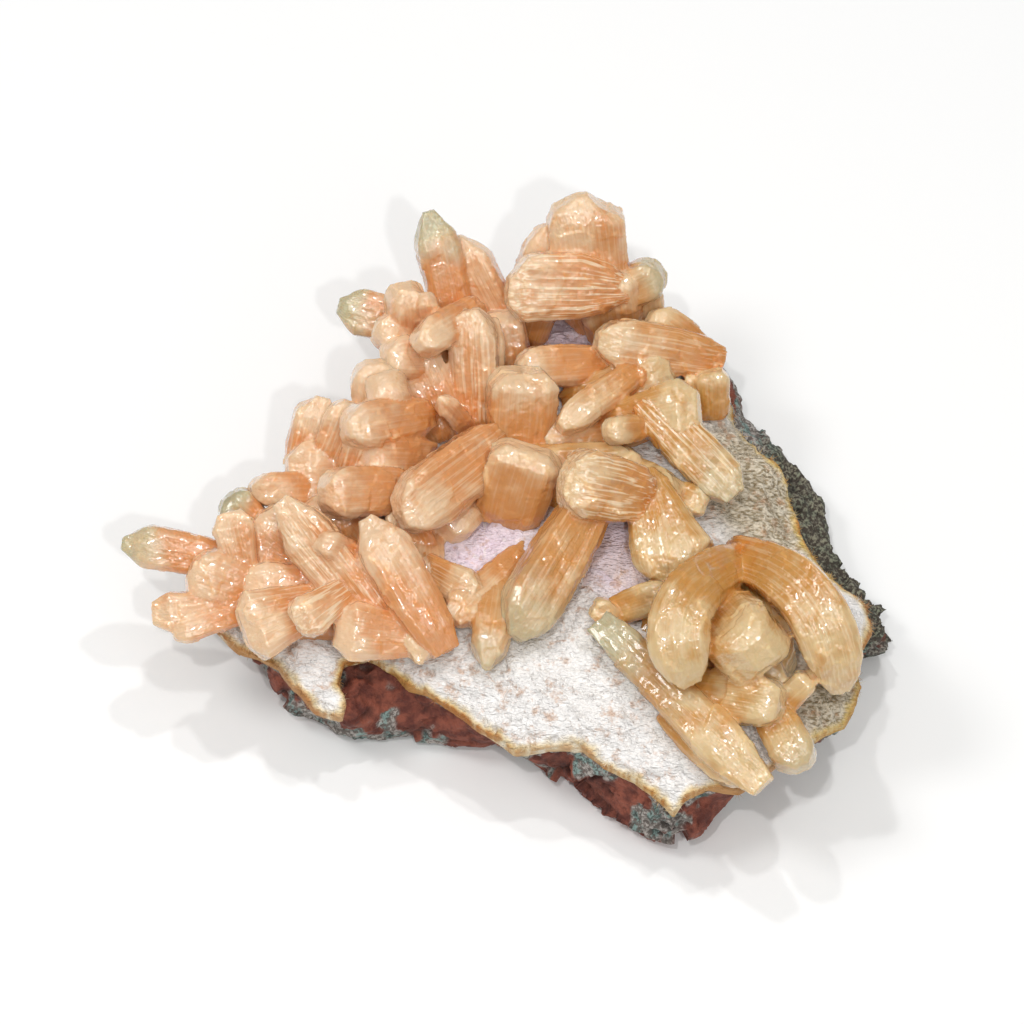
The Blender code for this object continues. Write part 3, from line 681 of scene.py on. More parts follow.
CLUSTERS = {
    "crown": [
        Blade((9.2, 19.0, 12.0), (6.9, 32.1, 25.0), 8.2, 4.6, "crown", ribs=0.3, heat=-0.35, frost=0.2),
        Blade((-0.6, 18.2, 12.0), (3.8, 29.0, 21.0), 3.5, 3.2, "round", 15, heat=0.1),
        Blade((11.5, 22.4, 17.5), (-0.5, 22.5, 20.5), 8.0, 3.6, "shield", -8, ribs=0.5, heat=-1.1, frost=1.0),
        Blade((9.5, 22.2, 15.0), (15.4, 24.3, 18.5), 4.2, 3.8, "round", 20, clear=0.6, heat=-0.2),
        Blade((13.5, 18.6, 11.5), (13.2, 23.0, 16.0), 4.2, 3.2, "block", 10, heat=-0.3),
        Blade((10.5, 18.2, 11.5), (9.2, 24.5, 19.0), 6.4, 5.0, "block", 5),
        Blade((1.0, 17.6, 11.5), (3.0, 24.5, 18.0), 5.5, 4.0, "block", heat=0.3),
    ],
    "spires": [
        Blade((-5.2, 16.5, 12.0), (-8.4, 30.6, 23.0), 4.6, 3.6, "chisel", 10, clear=0.9, heat=-1.0),
        Blade((0.2, 17.0, 12.0), (-5.8, 28.0, 20.0), 4.8, 3.2, "chisel", -15, ribs=0.8, heat=-0.2),
        Blade((-10.0, 19.0, 14.5), (-17.8, 21.0, 15.5), 4.8, 3.0, "house", clear=0.9, heat=-0.1),
        Blade((-10.5, 16.5, 14.0), (-10.6, 22.6, 22.0), 4.3, 4.2, "round", 20, ribs=0.2),
        Blade((-8.0, 18.0, 16.5), (-8.7, 21.8, 22.5), 2.2, 2.0, "round"),
        Blade((-8.0, 16.5, 15.0), (-13.6, 18.7, 19.5), 3.8, 3.4, "round", 10, ribs=0.2),
        Blade((-6.5, 15.5, 15.0), (-12.8, 15.5, 19.5), 4.3, 3.6, "round", 5, ribs=0.2),
        Blade((-3.6, 20.8, 17.0), (-9.4, 16.6, 21.8), 3.7, 3.4, "round", ribs=0.3),
        Blade((-6.5, 7.5, 12.0), (-10.5, 16.0, 17.5), 6.0, 4.2, "block", heat=0.9),
        Blade((-3.4, 7.8, 12.0), (-4.0, 20.4, 20.8), 5.0, 3.8, "round", -10, ribs=1.0, heat=0.15, frost=0.5),
        Blade((-1.9, 10.5, 12.0), (-1.7, 19.6, 19.0), 2.2, 3.2, "chisel", heat=0.2),
        Blade((-3.9, 7.8, 12.6), (-7.3, 11.5, 19.0), 2.4, 2.0, "chisel"),
        Blade((-1.0, 13.0, 11.0), (-2.2, 20.4, 16.0), 6.6, 4.4, "block", heat=0.5),
    ],
    "ridge": [
        Blade((19.6, 16.2, 12.0), (14.0, 20.0, 16.5), 3.8, 3.4, "round", 15, ribs=0.2, heat=-0.2),
        Blade((21.3, 15.5, 13.5), (8.5, 17.5, 18.0), 5.2, 4.0, "round", -5, heat=-0.3, frost=0.4),
        Blade((20.4, 9.6, 11.2), (20.2, 14.2, 15.0), 3.4, 2.8, "block", 10, heat=-0.2),
        Blade((18.2, 10.2, 11.0), (18.0, 14.4, 15.0), 1.6, 1.6, "point", heat=-0.3),
        Blade((9.6, 15.2, 14.0), (0.4, 14.5, 17.0), 4.4, 3.6, "round", ribs=0.2),
        Blade((14.2, 15.2, 15.5), (4.7, 8.4, 16.8), 3.4, 3.0, "round", 10, ribs=0.8),
        Blade((14.0, 8.6, 12.5), (0.2, 7.0, 14.8), 4.6, 3.6, "point", heat=0.4),
        Blade((9.0, 9.0, 14.0), (18.7, 10.4, 18.4), 6.4, 3.6, "fan", -10, heat=-0.4),
        Blade((13.2, 11.2, 17.5), (22.3, 1.6, 16.5), 4.8, 2.2, "plate", -12, clear=0.5, heat=-0.3, frost=1.0),
        Blade((13.2, 8.4, 16.5), (9.3, 8.0, 18.9), 2.9, 2.6, "round", heat=-0.3),
        Blade((5.5, 10.0, 11.5), (16.5, 13.5, 15.0), 6.4, 4.4, "block", heat=0.6),
    ],
    "heart": [
        Blade((0.6, 5.5, 12.0), (1.1, 14.2, 19.0), 6.9, 5.6, "block", 12, ribs=0.3, heat=0.2),
        Blade((-0.6, -1.0, 12.0), (1.7, 6.4, 18.5), 7.4, 5.0, "block", ribs=0.2, heat=0.1),
        Blade((13.4, 1.6, 17.0), (4.9, 3.2, 21.5), 6.8, 4.8, "round", ribs=0.5, heat=-0.3, frost=0.9),
        Blade((8.6, 2.4, 18.0), (0.0, -12.2, 14.5), 5.8, 4.8, "round", -14, ribs=0.9, clear=0.6, heat=0.1),
        Blade((13.2, 4.0, 17.0), (16.0, -6.9, 15.5), 8.8, 4.2, "drape", 8, ribs=0.2, heat=0.5, frost=0.3),
        Blade((14.5, 3.0, 13.5), (19.2, 0.6, 16.0), 3.2, 2.4, "fan", heat=0.1, frost=0.5),
        Blade((11.0, 4.6, 12.5), (16.2, 1.6, 17.0), 3.6, 3.0, "round", heat=0.5),
        Blade((-2.5, 2.8, 11.0), (13.0, 3.4, 14.5), 7.6, 5.0, "block", heat=0.9),
    ],
    "fans": [
        Blade((-0.8, 7.6, 15.0), (-11.0, -0.7, 18.5), 6.4, 4.0, "round", -12, ribs=0.7, frost=0.3),
        Blade((-2.6, 4.0, 11.5), (-7.0, -1.8, 14.5), 5.4, 3.4, "block", heat=0.4),
        Blade((-10.5, -4.2, 12.5), (-3.6, -8.2, 15.0), 4.0, 3.0, "fan", ribs=1.0, heat=0.3, frost=0.4),
        Blade((1.4, -3.4, 12.5), (-6.0, -10.6, 14.5), 4.0, 3.0, "fan", 10, ribs=0.8),
        Blade((-1.2, -7.0, 13.0), (-2.5, -15.3, 14.0), 4.7, 3.8, "point", clear=0.5, heat=0.4),
        Blade((-8.6, -4.8, 12.0), (-12.2, -0.2, 16.0), 2.1, 1.5, "plate", 20, heat=0.2),
        Blade((-7.6, -5.0, 12.0), (-9.6, -0.4, 16.0), 2.1, 1.5, "plate", -10, heat=0.1),
        Blade((-8.6, 0.5, 11.0), (-8.4, -7.5, 13.5), 3.6, 3.4, "block", heat=1.0),
    ],
    "shoulder": [
        Blade((-13.0, 7.0, 12.0), (-13.8, 15.1, 20.0), 5.4, 3.8, "round", ribs=0.3),
        Blade((-12.2, 9.4, 14.0), (-12.6, 13.0, 21.0), 4.6, 4.0, "round", 10, ribs=0.2),
        Blade((-21.4, 3.4, 12.0), (-18.8, 11.5, 18.0), 5.0, 3.2, "chisel", 8, ribs=0.9, frost=0.4),
        Blade((-19.4, 3.6, 13.0), (-16.2, 10.9, 19.2), 3.8, 3.2, "round", ribs=0.8, frost=0.4),
        Blade((-17.0, 3.0, 14.0), (-15.0, 8.6, 19.6), 2.4, 2.2, "chisel", frost=0.8),
        Blade((-8.4, 9.8, 15.5), (-16.6, 8.2, 20.5), 4.8, 4.2, "round", ribs=0.2, heat=-0.1),
        Blade((-8.2, 5.6, 13.5), (-14.6, 5.6, 18.0), 4.6, 3.6, "round", ribs=0.2, heat=0.1),
        Blade((-17.5, 2.2, 12.5), (-26.1, 2.2, 15.2), 3.6, 3.4, "round", ribs=0.4, heat=0.2),
        Blade((-10.3, 2.2, 14.5), (-18.8, 1.8, 18.8), 5.2, 4.4, "round", ribs=0.3),
        Blade((-9.5, 4.6, 11.5), (-22.5, 3.2, 14.0), 7.5, 4.6, "block", heat=0.7),
    ],
    "left": [
        Blade((-27.5, -5.0, 12.5), (-38.7, -3.0, 14.2), 4.4, 3.4, "chisel", clear=0.8, heat=0.1),
        Blade((-25.0, -2.0, 12.0), (-28.4, 1.6, 15.0), 4.0, 3.0, "round", clear=1.0, heat=-0.6),
        Blade((-25.6, -9.0, 12.5), (-27.9, 0.0, 18.0), 4.3, 3.4, "fan", ribs=0.8),
        Blade((-24.5, -8.4, 12.5), (-31.8, -5.6, 15.5), 5.6, 4.0, "round", ribs=0.3, heat=0.2),
        Blade((-24.5, -9.2, 13.0), (-35.4, -10.0, 13.8), 4.0, 3.0, "fan", heat=-0.2),
        Blade((-25.5, -9.4, 13.0), (-33.4, -12.0, 13.2), 2.8, 2.6, "round", heat=-0.1),
        Blade((-18.0, -8.5, 14.0), (-26.4, -11.6, 15.0), 7.2, 3.8, "fan", ribs=0.9, heat=-0.1, frost=0.4),
        Blade((-12.6, -11.5, 13.5), (-22.8, 1.1, 19.5), 5.3, 3.6, "house", -10, ribs=0.7, frost=0.6),
        Blade((-15.0, -4.4, 15.0), (-18.8, -2.8, 19.6), 2.8, 2.8, "block", ribs=0.3, heat=-0.1),
        Blade((-6.4, -13.8, 13.5), (-14.4, -0.5, 20.0), 5.4, 3.8, "chisel", 12,
              ribs=0.3, clear=0.1, heat=-0.3),
        Blade((-15.0, -6.8, 15.5), (-21.0, -11.0, 17.2), 4.4, 3.0, "fan", ribs=1.0, heat=0.3, frost=0.8),
        Blade((-6.3, -12.8, 12.5), (-17.4, -11.4, 15.0), 6.0, 4.0, "fan", ribs=0.4, heat=0.3),
        Blade((-8.4, -8.5, 13.5), (-9.2, -14.9, 13.8), 4.2, 3.2, "point", heat=0.2),
        Blade((-18.5, -6.0, 11.5), (-25.6, -0.8, 15.5), 6.8, 4.6, "round", ribs=0.3, heat=0.1),
        Blade((-12.0, -9.5, 11.0), (-27.0, -8.5, 13.5), 7.6, 4.4, "block", heat=0.7),
        Blade((-15.0, -4.0, 11.5), (-19.8, 1.5, 15.5), 6.4, 4.2, "round", heat=0.5),
    ],
    "arch": [
        Blade((21.8, -4.4, 13.0), (31.8, -17.2, 14.5), 6.0, 4.6, "arc", 0, (28.4, -8.2, 20.0),
              ribs=0.5, heat=-0.2, frost=0.3),
        Blade((23.2, -4.6, 14.5), (17.2, -16.5, 17.5), 6.0, 4.6, "arc", 0, (16.6, -9.2, 20.5),
              ribs=0.3, heat=-0.25),
        Blade((20.5, -10.0, 13.0), (23.6, -13.8, 21.0), 7.4, 6.2, "round", ribs=0.2, heat=-0.1),
        Blade((8.6, -10.8, 14.5), (24.3, -26.4, 13.8), 5.0, 3.4, "spindle", ribs=0.9, clear=-0.9),
        Blade((14.8, -19.6, 12.3), (22.2, -26.2, 12.8), 3.2, 2.6, "round", ribs=0.8),
        Blade((17.0, -17.0, 13.0), (26.0, -18.6, 16.5), 4.8, 4.0, "block", heat=0.4),
        Blade((24.4, -17.8, 13.0), (28.0, -24.8, 14.0), 4.4, 3.6, "round", clear=0.4, heat=-0.3),
        Blade((25.6, -19.4, 13.5), (29.0, -15.9, 16.5), 2.6, 2.2, "block"),
        Blade((10.6, -11.2, 12.5), (8.0, -9.0, 15.0), 2.4, 2.0, "round", heat=-0.1),
        Blade((9.6, -10.0, 12.5), (15.4, -7.8, 16.0), 3.2, 2.8, "block"),
        Blade((13.0, -11.5, 11.5), (26.0, -18.5, 13.5), 8.0, 4.4, "block", heat=0.9),
        Blade((21.0, -5.0, 11.5), (24.0, -17.0, 13.5), 9.0, 4.4, "block", heat=0.9),
    ],
}
print(sum(len(blades) for blades in CLUSTERS.values()), "blades in", len(CLUSTERS), "clusters")

# %% [markdown]
# ### Lay a bar along a blade
# A blade's middle line is a curve through its root, perhaps a bend, and its tip. At any share of the
# length the blade has a side, a face towards the viewer, and a width. A point that is given as shares
# of the width, the thickness and the length is put in place by these. Growth plates keep the width
# that the blade has reached before it tapers, so they run straight and stop at its slanting end.

# %% Places along a blade


def line_of(blade):
    """Three control points of a blade's middle line."""
    root, tip = spot(*blade.root), spot(*blade.tip)
    middle = (root + tip) / 2
    if blade.via is not None:
        middle = 2 * spot(*blade.via) - middle
    return root, middle, tip


def axes_at(blade, shares):
    """Points of the middle line, with the blade's side and face directions there."""
    start, middle, end = line_of(blade)
    shares = np.asarray(shares)[:, None]
    point = start * (1 - shares) ** 2 + middle * 2 * shares * (1 - shares) + end * shares ** 2
    along = (middle - start) * (1 - shares) + (end - middle) * shares
    along /= np.linalg.norm(along, axis=1)[:, None]
    face = TO_VIEWER - along * (along @ TO_VIEWER)[:, None]
    face /= np.linalg.norm(face, axis=1)[:, None]
    turn = math.radians(blade.turn)
    face = face * math.cos(turn) + np.cross(along, face) * math.sin(turn)
    return point, along, np.cross(along, face), face


def widths_at(blade, shares, tapered):
    """How far the blade reaches left, right and forward, in millimetres."""
    plan = np.array(HABITS[blade.habit])
    if not tapered:
        plan[:, 1:] = np.maximum.accumulate(plan[:, 1:], axis=0)
    left, right, deep = (np.interp(shares, plan[:, 0], plan[:, column]) for column in (1, 2, 3))
    return left * blade.width / 2, right * blade.width / 2, deep * blade.thick / 2


def place_shares(blade, beside, front, shares, tapered):
    """Puts points, given as shares of width, thickness and length, in place on a blade."""
    point, along, side, face = axes_at(blade, np.clip(shares, 0, 1))
    left, right, deep = widths_at(blade, np.clip(shares, 0, 1), tapered)
    reach = np.where(beside > 0, right, left)
    length = np.linalg.norm(spot(*blade.tip) - spot(*blade.root))
    over = shares - np.clip(shares, 0, 1)
    return (point + along * (over * length)[:, None]
            + side * (beside * reach)[:, None] + face * (front * deep)[:, None])


def end_of(blade, beside):
    """The share of the length at which the tapered blade is only as wide as beside."""
    shares = np.linspace(0.5, 1, 101)
    tapered, full = (widths_at(blade, shares, flag)[1 if beside > 0 else 0] for flag in (True, False))
    wide = shares[tapered >= abs(beside) * full]
    return wide[-1] if len(wide) else 0.5


print("a plate at half width ends at", end_of(CLUSTERS["crown"][0], 0.5), "of the length")

# %% [markdown]
# ### Bundle, drop and fuse
# A blade is one bar of its full outline with a few thinner plates on its broad faces, which end
# before the tip as growth steps do. No foot goes deeper than a little below the felt, so that none
# shows under the rim. The more grooved a blade is, the more plates it has.

# %% Bundle one blade
FOOT_DEPTH = 0.8
PLATE_PROUD = 0.14


def bundle(blade, random):
    """The points of a blade and of the growth plates on it, each a bent copy of the bar."""
    x, y, z = bar_points.T
    copies = [place_shares(blade, x, y, z, True)]
    for number in range(1 + round(4 * blade.ribs)):
        half = random.uniform(0.15, 0.42)
        centre = random.uniform(-1, 1) * (0.95 - half)
        outermost = math.copysign(min(abs(centre) + half, 0.98), centre)
        last = end_of(blade, outermost) * random.uniform(0.78, 0.99)
        side = random.choice((1, 1, -1))
        tip = 1 - 0.5 * smooth_step(z, 0.93, 1)
        proud = random.uniform(0.3, 1) * PLATE_PROUD * (0.4 + 0.6 * blade.ribs) / (blade.thick / 2)
        front = side * (0.5 + proud) + 0.5 * y * tip
        copies.append(place_shares(blade, centre + x * half * tip, front, z * last, False))
    return copies


random = np.random.default_rng(5)
print("a bundle has", len(bundle(CLUSTERS["crown"][0], random)), "bars")

# %% Fuse a cluster
CRYSTAL_VOXEL = 0.18


def fuse(name, blades):
    """Copies the bar for every blade and plate of a cluster and joins the copies."""
    random = np.random.default_rng(len(name) + len(blades))
    copies = []
    for number, blade in enumerate(blades):
        for points in bundle(blade, random):
            points[:, 2] = np.maximum(points[:, 2], read_map(felt_map, points) - FOOT_DEPTH)
            item = bar.copy()
            item.data = bar.data.copy()
            bpy.context.scene.collection.objects.link(item)
            move_points(item, points)
            give_values(item, "blade", np.full(len(points), float(number)))
            copies.append(item)
    deselect()
    for item in copies:
        item.select_set(True)
    bpy.context.view_layer.objects.active = copies[0]
    bpy.ops.object.join()
    cluster = copies[0]
    cluster.name = cluster.data.name = name
    return cluster


def which_blade(cluster):
    """Finds, for any point, the blade that lies nearest to it."""
    data = cluster.data
    owner = np.empty(len(data.vertices), np.float32)
    data.attributes["blade"].data.foreach_get("value", owner)
    corners = [face.vertices[:] for face in data.polygons]
    bvh = BVHTree.FromPolygons([vert.co / MM for vert in data.vertices], corners)
    first = np.array([face[0] for face in corners])
    return bvh, owner[first].astype(int)


# %% [markdown]
# ### Grooves
# After the fusing, each point of the surface is given its place in its blade again: millimetres to
# the side, in depth and along. The grooves are random in the first two and long in the third, so
# they follow each blade and spread where it spreads. Flat facets in two sizes, made as the chips of
# the rock are but much shallower, give back the planes that the remesh has rounded.

# %% Ridges, and a point's place in its blade


def table_of(size, seed):
    return np.random.default_rng(seed).uniform(-1, 1, size)


def ripple(values, spacing, seed):
    """Random ridges one after another along a line, about spacing apart."""
    table = table_of(512, seed)
    return np.interp((values / spacing) % 511, np.arange(512), table)


def local_place(blade, points):
    """Side, depth and along in a blade, in millimetres, and the share of its length."""
    start, middle, end = line_of(blade)
    shares = np.linspace(0, 1, 41)
    spine, along, side, face = axes_at(blade, shares)
    gaps = ((points[:, None, :] - spine[None, :, :]) * along[None, :, :]).sum(axis=2)
    cross = np.argmin(np.abs(gaps) + 0.02 * np.linalg.norm(points[:, None, :] - spine[None], axis=2), axis=1)
    length = np.linalg.norm(end - start)
    offset = points - spine[cross]
    share = shares[cross] + (offset * along[cross]).sum(axis=1) / length
    left, right, deep = widths_at(blade, np.clip(share, 0, 1), False)
    beside = (offset * side[cross]).sum(axis=1)
    front = (offset * face[cross]).sum(axis=1)
    fanned = beside / np.where(beside > 0, right, left) * blade.width / 2
    return np.column_stack((fanned, front, share * length)), share, side[cross], face[cross]


print("ridges at", ripple(np.arange(3.0), 1.0, 0).round(2))

# %% Measure how sharply a surface bends


def bend_of(item):
    """How far each point lies below (above zero) or above its smoothed surroundings."""
    smoothed = item.copy()
    smoothed.data = item.data.copy()
    bpy.context.scene.collection.objects.link(smoothed)
    apply_modifier(smoothed, "SMOOTH", factor=0.5, iterations=30)
    bend = ((points_of(smoothed) - points_of(item)) * normals_of(item)).sum(axis=1)
    bpy.data.objects.remove(smoothed)
    return bend


# %% Cut the grooves
FIELDS = ("share", "clear", "heat", "frost", "ribs", "blush")
RIDGES_APART = 0.62
FINE_RIDGES_APART = 0.30
PLAIN_GROOVE = 0.008
RIBBED_GROOVE = 0.030
LARGE_FACETS = (2.6, 0.16)
SMALL_FACETS = (1.2, 0.12)
FACET_DEPTH = 0.38


def groove(cluster, blades, bvh, owners):
    """Presses grooves into a fused cluster and stores what the material reads."""
    points, normals = points_of(cluster), normals_of(cluster)
    numbers = np.array([owners[bvh.find_nearest(point)[2]] for point in points])
    places = np.zeros_like(points)
    values = {name: np.zeros(len(points)) for name in FIELDS}
    shift = np.zeros(len(points))
    for number, blade in enumerate(blades):
        own = numbers == number
        if not own.any():
            continue
        seed = number * 7 + len(blades)
        place, share, side, face = local_place(blade, points[own])
        on_face = np.abs((normals[own] * face).sum(axis=1))
        on_side = np.abs((normals[own] * side).sum(axis=1))
        ridges = ripple(place[:, 0], RIDGES_APART, seed) * on_face
        ridges += ripple(place[:, 1], RIDGES_APART, seed + 1) * on_side
        fine = ripple(place[:, 0], FINE_RIDGES_APART, seed + 2) * on_face
        fine += ripple(place[:, 1], FINE_RIDGES_APART, seed + 3) * on_side
        strength = PLAIN_GROOVE + RIBBED_GROOVE * blade.ribs
        shift[own] = strength * (ridges + 0.7 * fine)
        shift[own] += 0.06 * swell(place * (1, 1, 0.6), 2.6, seed) + 0.035 * swell(place, 0.8, seed)
        shift[own] += 0.05 * blade.frost * swell(place * (1, 1, 0.5), 0.5, seed)
        places[own] = place + (37.0 * number, 11.0 * number, 0)
        values["share"][own] = np.clip(share, 0, 1)
        reach = share if blade.clear > 0 else 1 - share
        reach = reach + 0.15 * swell(points[own], 1.6, 61)
        values["clear"][own] = abs(blade.clear) * smooth_step(reach, 0.45, 1.05)
        values["heat"][own] = blade.heat
        values["frost"][own] = blade.frost
        values["ribs"][own] = blade.ribs
        values["blush"][own] = 1 - smooth_step(np.array([blade.tip[0] - blade.tip[1] * 0.4]), -14.0, 20.0)
    random = np.random.default_rng(len(blades))
    warped = points + 0.25 * np.column_stack([swell(points, 1.1, seed) for seed in (51, 52, 53)])
    shift += FACET_DEPTH * chips(warped, *LARGE_FACETS, random)
    shift += FACET_DEPTH * chips(warped, *SMALL_FACETS, random)
    move_points(cluster, keep_in_box(points + normals * shift[:, None]))
    bend = bend_of(cluster)
    # Painted shade in the creases and painted highlight on the ridges, stored for the material.
    give_values(cluster, "hollow_shade", smooth_step(bend, 0.02, 0.35))
    give_values(cluster, "edge", smooth_step(-bend, 0.03, 0.30))
    give_places(cluster, "grain", places)
    for field, stored in values.items():
        give_values(cluster, field, stored)


print("facets", LARGE_FACETS[0], "and", SMALL_FACETS[0], "mm apart")

# %% [markdown]
# ### The finish of stilbite
# Stilbite is a glassy mineral that splits into pearly sheets. Light goes some millimetres into it,
# so it glows; clear parts let it through. The root is orange from iron, the tip is cream or colourless.
# Paint alone would look like wax fruit, so light is let in under the skin, and a clear coat with
# small bumps gives the sharp glints. The colour runs from root to tip by the share of the length.
# On top of it come painted shade in the creases, painted highlight on the ridges and painted glints
# on the frosted faces.

# %% Stilbite material
# Stilbite: a hydrous silicate, IOR 1.50, grown in a cavity. The eye gets a waxy glow under a glassy skin.
# The grooves are a quarter of a millimetre apart. The flakes of its cleavage are given across,
# through and along the blade, much coarser than the real ones, so that single ones can glint.
GROOVES_ACROSS = 1 / 0.26
FLAKE_SIZE = (0.35, 0.35, 0.8)

stilbite, tree, shader = new_material("grown_stilbite")
shader.subsurface_method = "BURLEY"
fields = {name: node(tree, "ShaderNodeAttribute", {"attribute_name": name}).outputs["Fac"]
          for name in FIELDS + ("hollow_shade", "edge")}
grain = node(tree, "ShaderNodeAttribute", {"attribute_name": "grain"}).outputs["Vector"]
place = node(tree, "ShaderNodeTexCoord").outputs["Object"]
stretched = node(tree, "ShaderNodeVectorMath", {"operation": "MULTIPLY"},
                 {0: grain, 1: (GROOVES_ACROSS, GROOVES_ACROSS, 0.16)}).outputs["Vector"]
threads = node(tree, "ShaderNodeTexNoise",
               inputs={"Vector": stretched, "Scale": 1.0, "Detail": 1.0}).outputs["Fac"]
clouds = node(tree, "ShaderNodeTexNoise",
              inputs={"Vector": place, "Scale": 1 / (3.6 * MM), "Detail": 2.0,
                      "Roughness": 0.55}).outputs["Fac"]
crinkles = node(tree, "ShaderNodeTexNoise",
                inputs={"Vector": place, "Scale": 1 / (0.5 * MM), "Detail": 1.0,
                        "Roughness": 0.6}).outputs["Fac"]
print("fields of stilbite:", ", ".join(fields))

# %% Its colour
toward_tip = maths(tree, "ADD", fields["share"],
                   maths(tree, "MULTIPLY", maths(tree, "SUBTRACT", clouds, 0.5), 1.5))
toward_tip = maths(tree, "ADD", toward_tip,
                   maths(tree, "MULTIPLY", maths(tree, "SUBTRACT", threads, 0.5), 0.28))
toward_tip = maths(tree, "SUBTRACT", toward_tip, maths(tree, "MULTIPLY", fields["heat"], 0.7))
warm_tint = blend(tree, fields["blush"], colour("BF8842"), colour("D28F58"))
pale_tint = blend(tree, fields["blush"], colour("D5B888"), colour("E4C09A"))
body = blend(tree, ramp(tree, toward_tip, -0.45, 0.30), colour("C7782F"), warm_tint)
body = blend(tree, ramp(tree, toward_tip, 0.35, 1.0), body, pale_tint)
# Painted highlight: convex edges and ridges are paled to cream.
body = blend(tree, maths(tree, "MULTIPLY", fields["edge"], 0.40), body, colour("E4C898"))
# Painted shade: creases where blades meet are deepened to dark orange.
body = blend(tree, maths(tree, "MULTIPLY", fields["hollow_shade"], 0.6), body, colour("B8621F"))
body = blend(tree, ramp(tree, fields["clear"], 0.1, 0.9), body, colour("DACDA4"))
# Painted glints: cream-white streaks along the threads of the frosted faces.
painted_glints = maths(tree, "MULTIPLY", fields["frost"], ramp(tree, threads, 0.50, 0.66))
body = blend(tree, maths(tree, "MULTIPLY", painted_glints, 0.6), body, colour("F8E6C4"))
print("with its colour:", len(tree.nodes), "nodes")

# %% Its skin
flakes = node(tree, "ShaderNodeVectorMath", {"operation": "SNAP"}, {0: grain, 1: FLAKE_SIZE})
flakes = node(tree, "ShaderNodeTexWhiteNoise", {"noise_dimensions": "3D"},
              {"Vector": flakes.outputs["Vector"]}).outputs["Color"]
tilt = node(tree, "ShaderNodeVectorMath", {"operation": "SUBTRACT"}, {0: flakes, 1: (0.5, 0.5, 0.5)})
tilt = node(tree, "ShaderNodeVectorMath", {"operation": "SCALE"},
            {"Vector": tilt.outputs["Vector"], "Scale": maths(tree, "MULTIPLY", fields["frost"], 0.5)})
facing = node(tree, "ShaderNodeNewGeometry").outputs["Normal"]
facing = node(tree, "ShaderNodeVectorMath", {"operation": "ADD"}, {0: facing, 1: tilt.outputs["Vector"]})
facing = node(tree, "ShaderNodeVectorMath", {"operation": "NORMALIZE"}, {0: facing.outputs["Vector"]})
depth = maths(tree, "ADD", maths(tree, "MULTIPLY", fields["ribs"], 0.55), 0.20)
grooved = node(tree, "ShaderNodeBump", inputs={"Height": threads, "Strength": depth, "Distance": 0.14 * MM,
                                               "Normal": facing.outputs["Vector"]}).outputs["Normal"]
skin = node(tree, "ShaderNodeBump", inputs={"Height": crinkles, "Strength": 0.6, "Distance": 0.15 * MM,
                                            "Normal": grooved})
set_inputs(tree, shader, {
    "Base Color": body, "Roughness": 0.24, "IOR": 1.50, "Subsurface Weight": 0.75,
    "Subsurface Radius": (1.0, 0.45, 0.2), "Subsurface Scale": 1.4 * MM,
    "Transmission Weight": maths(tree, "MULTIPLY", fields["clear"], 0.45),
    "Coat Weight": 1.0, "Coat Roughness": 0.06, "Normal": skin.outputs["Normal"],
})
print("with its skin:", len(tree.nodes), "nodes")

# %% [markdown]
# ### Grow the clusters
# Each cluster is fused, remeshed so that its blades share one skin, smoothed once to take away the
# steps of the remesh, and grooved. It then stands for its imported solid.

# %% Make the clusters
for name, blades in CLUSTERS.items():
    cluster = fuse(name + "_crystals", blades)
    bvh, owners = which_blade(cluster)
    apply_modifier(cluster, "REMESH", mode="VOXEL", voxel_size=CRYSTAL_VOXEL * MM)
    apply_modifier(cluster, "SMOOTH", factor=0.5, iterations=1)
    groove(cluster, blades, bvh, owners)
    finish_piece(cluster, stilbite, "stilbite", "stilbite_" + name)
bpy.data.objects.remove(bar)

# %% [markdown]
# ## Stains, painted shade and hairs on the felt
# The felt is stained where it meets other things: yellow and brown along its broken rim, cream on
# its right side, and lilac in its upper parts. Beside the crystals it is given a painted olive shade.
# These are all matters of distance, so they are measured and stored on the points.

# %% Measure the stains and the painted shade
LILAC_SPOTS = [(spot(6.0, 17.5, 13.0), 9.0), (spot(-3.0, -2.5, 13.0), 8.0), (spot(12.0, -4.5, 13.0), 7.0)]
CREAM_SPOTS = [(spot(23.0, 4.0, 11.0), 9.0), (spot(27.0, -2.0, 10.0), 8.0), (spot(31.0, -19.0, 10.0), 7.0)]

crystal_points = []
crystal_faces = []
for name in CLUSTERS:
    data = frame["nodes"]["stilbite_" + name].data
    before = len(crystal_points)
    crystal_points += [vert.co / MM for vert in data.vertices]
    crystal_faces += [[before + number for number in face.vertices] for face in data.polygons]
crystal_bvh = BVHTree.FromPolygons(crystal_points, crystal_faces)


def gap_to_crystals(point, limit):
    gap = crystal_bvh.find_nearest(point, limit)[3]
    return limit if gap is None else gap


points = points_of(felt)
to_rim = inside_rim(points)
to_crystal = np.array([gap_to_crystals(point, 3.0) for point in points])
ragged = 0.30 * swell(points, 1.1, 41) + 0.35 * swell(points, 4.5, 44)
yellow = 1 - smooth_step(to_rim + ragged, 0.2, 0.9)
brown = 1 - smooth_step(to_rim + 0.6 * ragged, 0.1, 0.4)
give_values(felt, "rim", yellow * (0.75 + 0.25 * swell(points, 6.0, 45)))
give_values(felt, "brink", brown * (0.75 + 0.35 * swell(points, 5.0, 46)))
# Painted shade: olive-grey on the felt within about two millimetres of the crystals.
give_values(felt, "shade", 1 - smooth_step(to_crystal + 0.6 * swell(points, 1.5, 42), 0.2, 2.0))
give_values(felt, "lilac", np.clip(sum(nearness(points, place) for place in LILAC_SPOTS), 0, 1))
give_values(felt, "cream", np.clip(sum(nearness(points, place) for place in CREAM_SPOTS), 0, 1))
print("felt stained,", (to_rim < 1).sum(), "points on the rim")
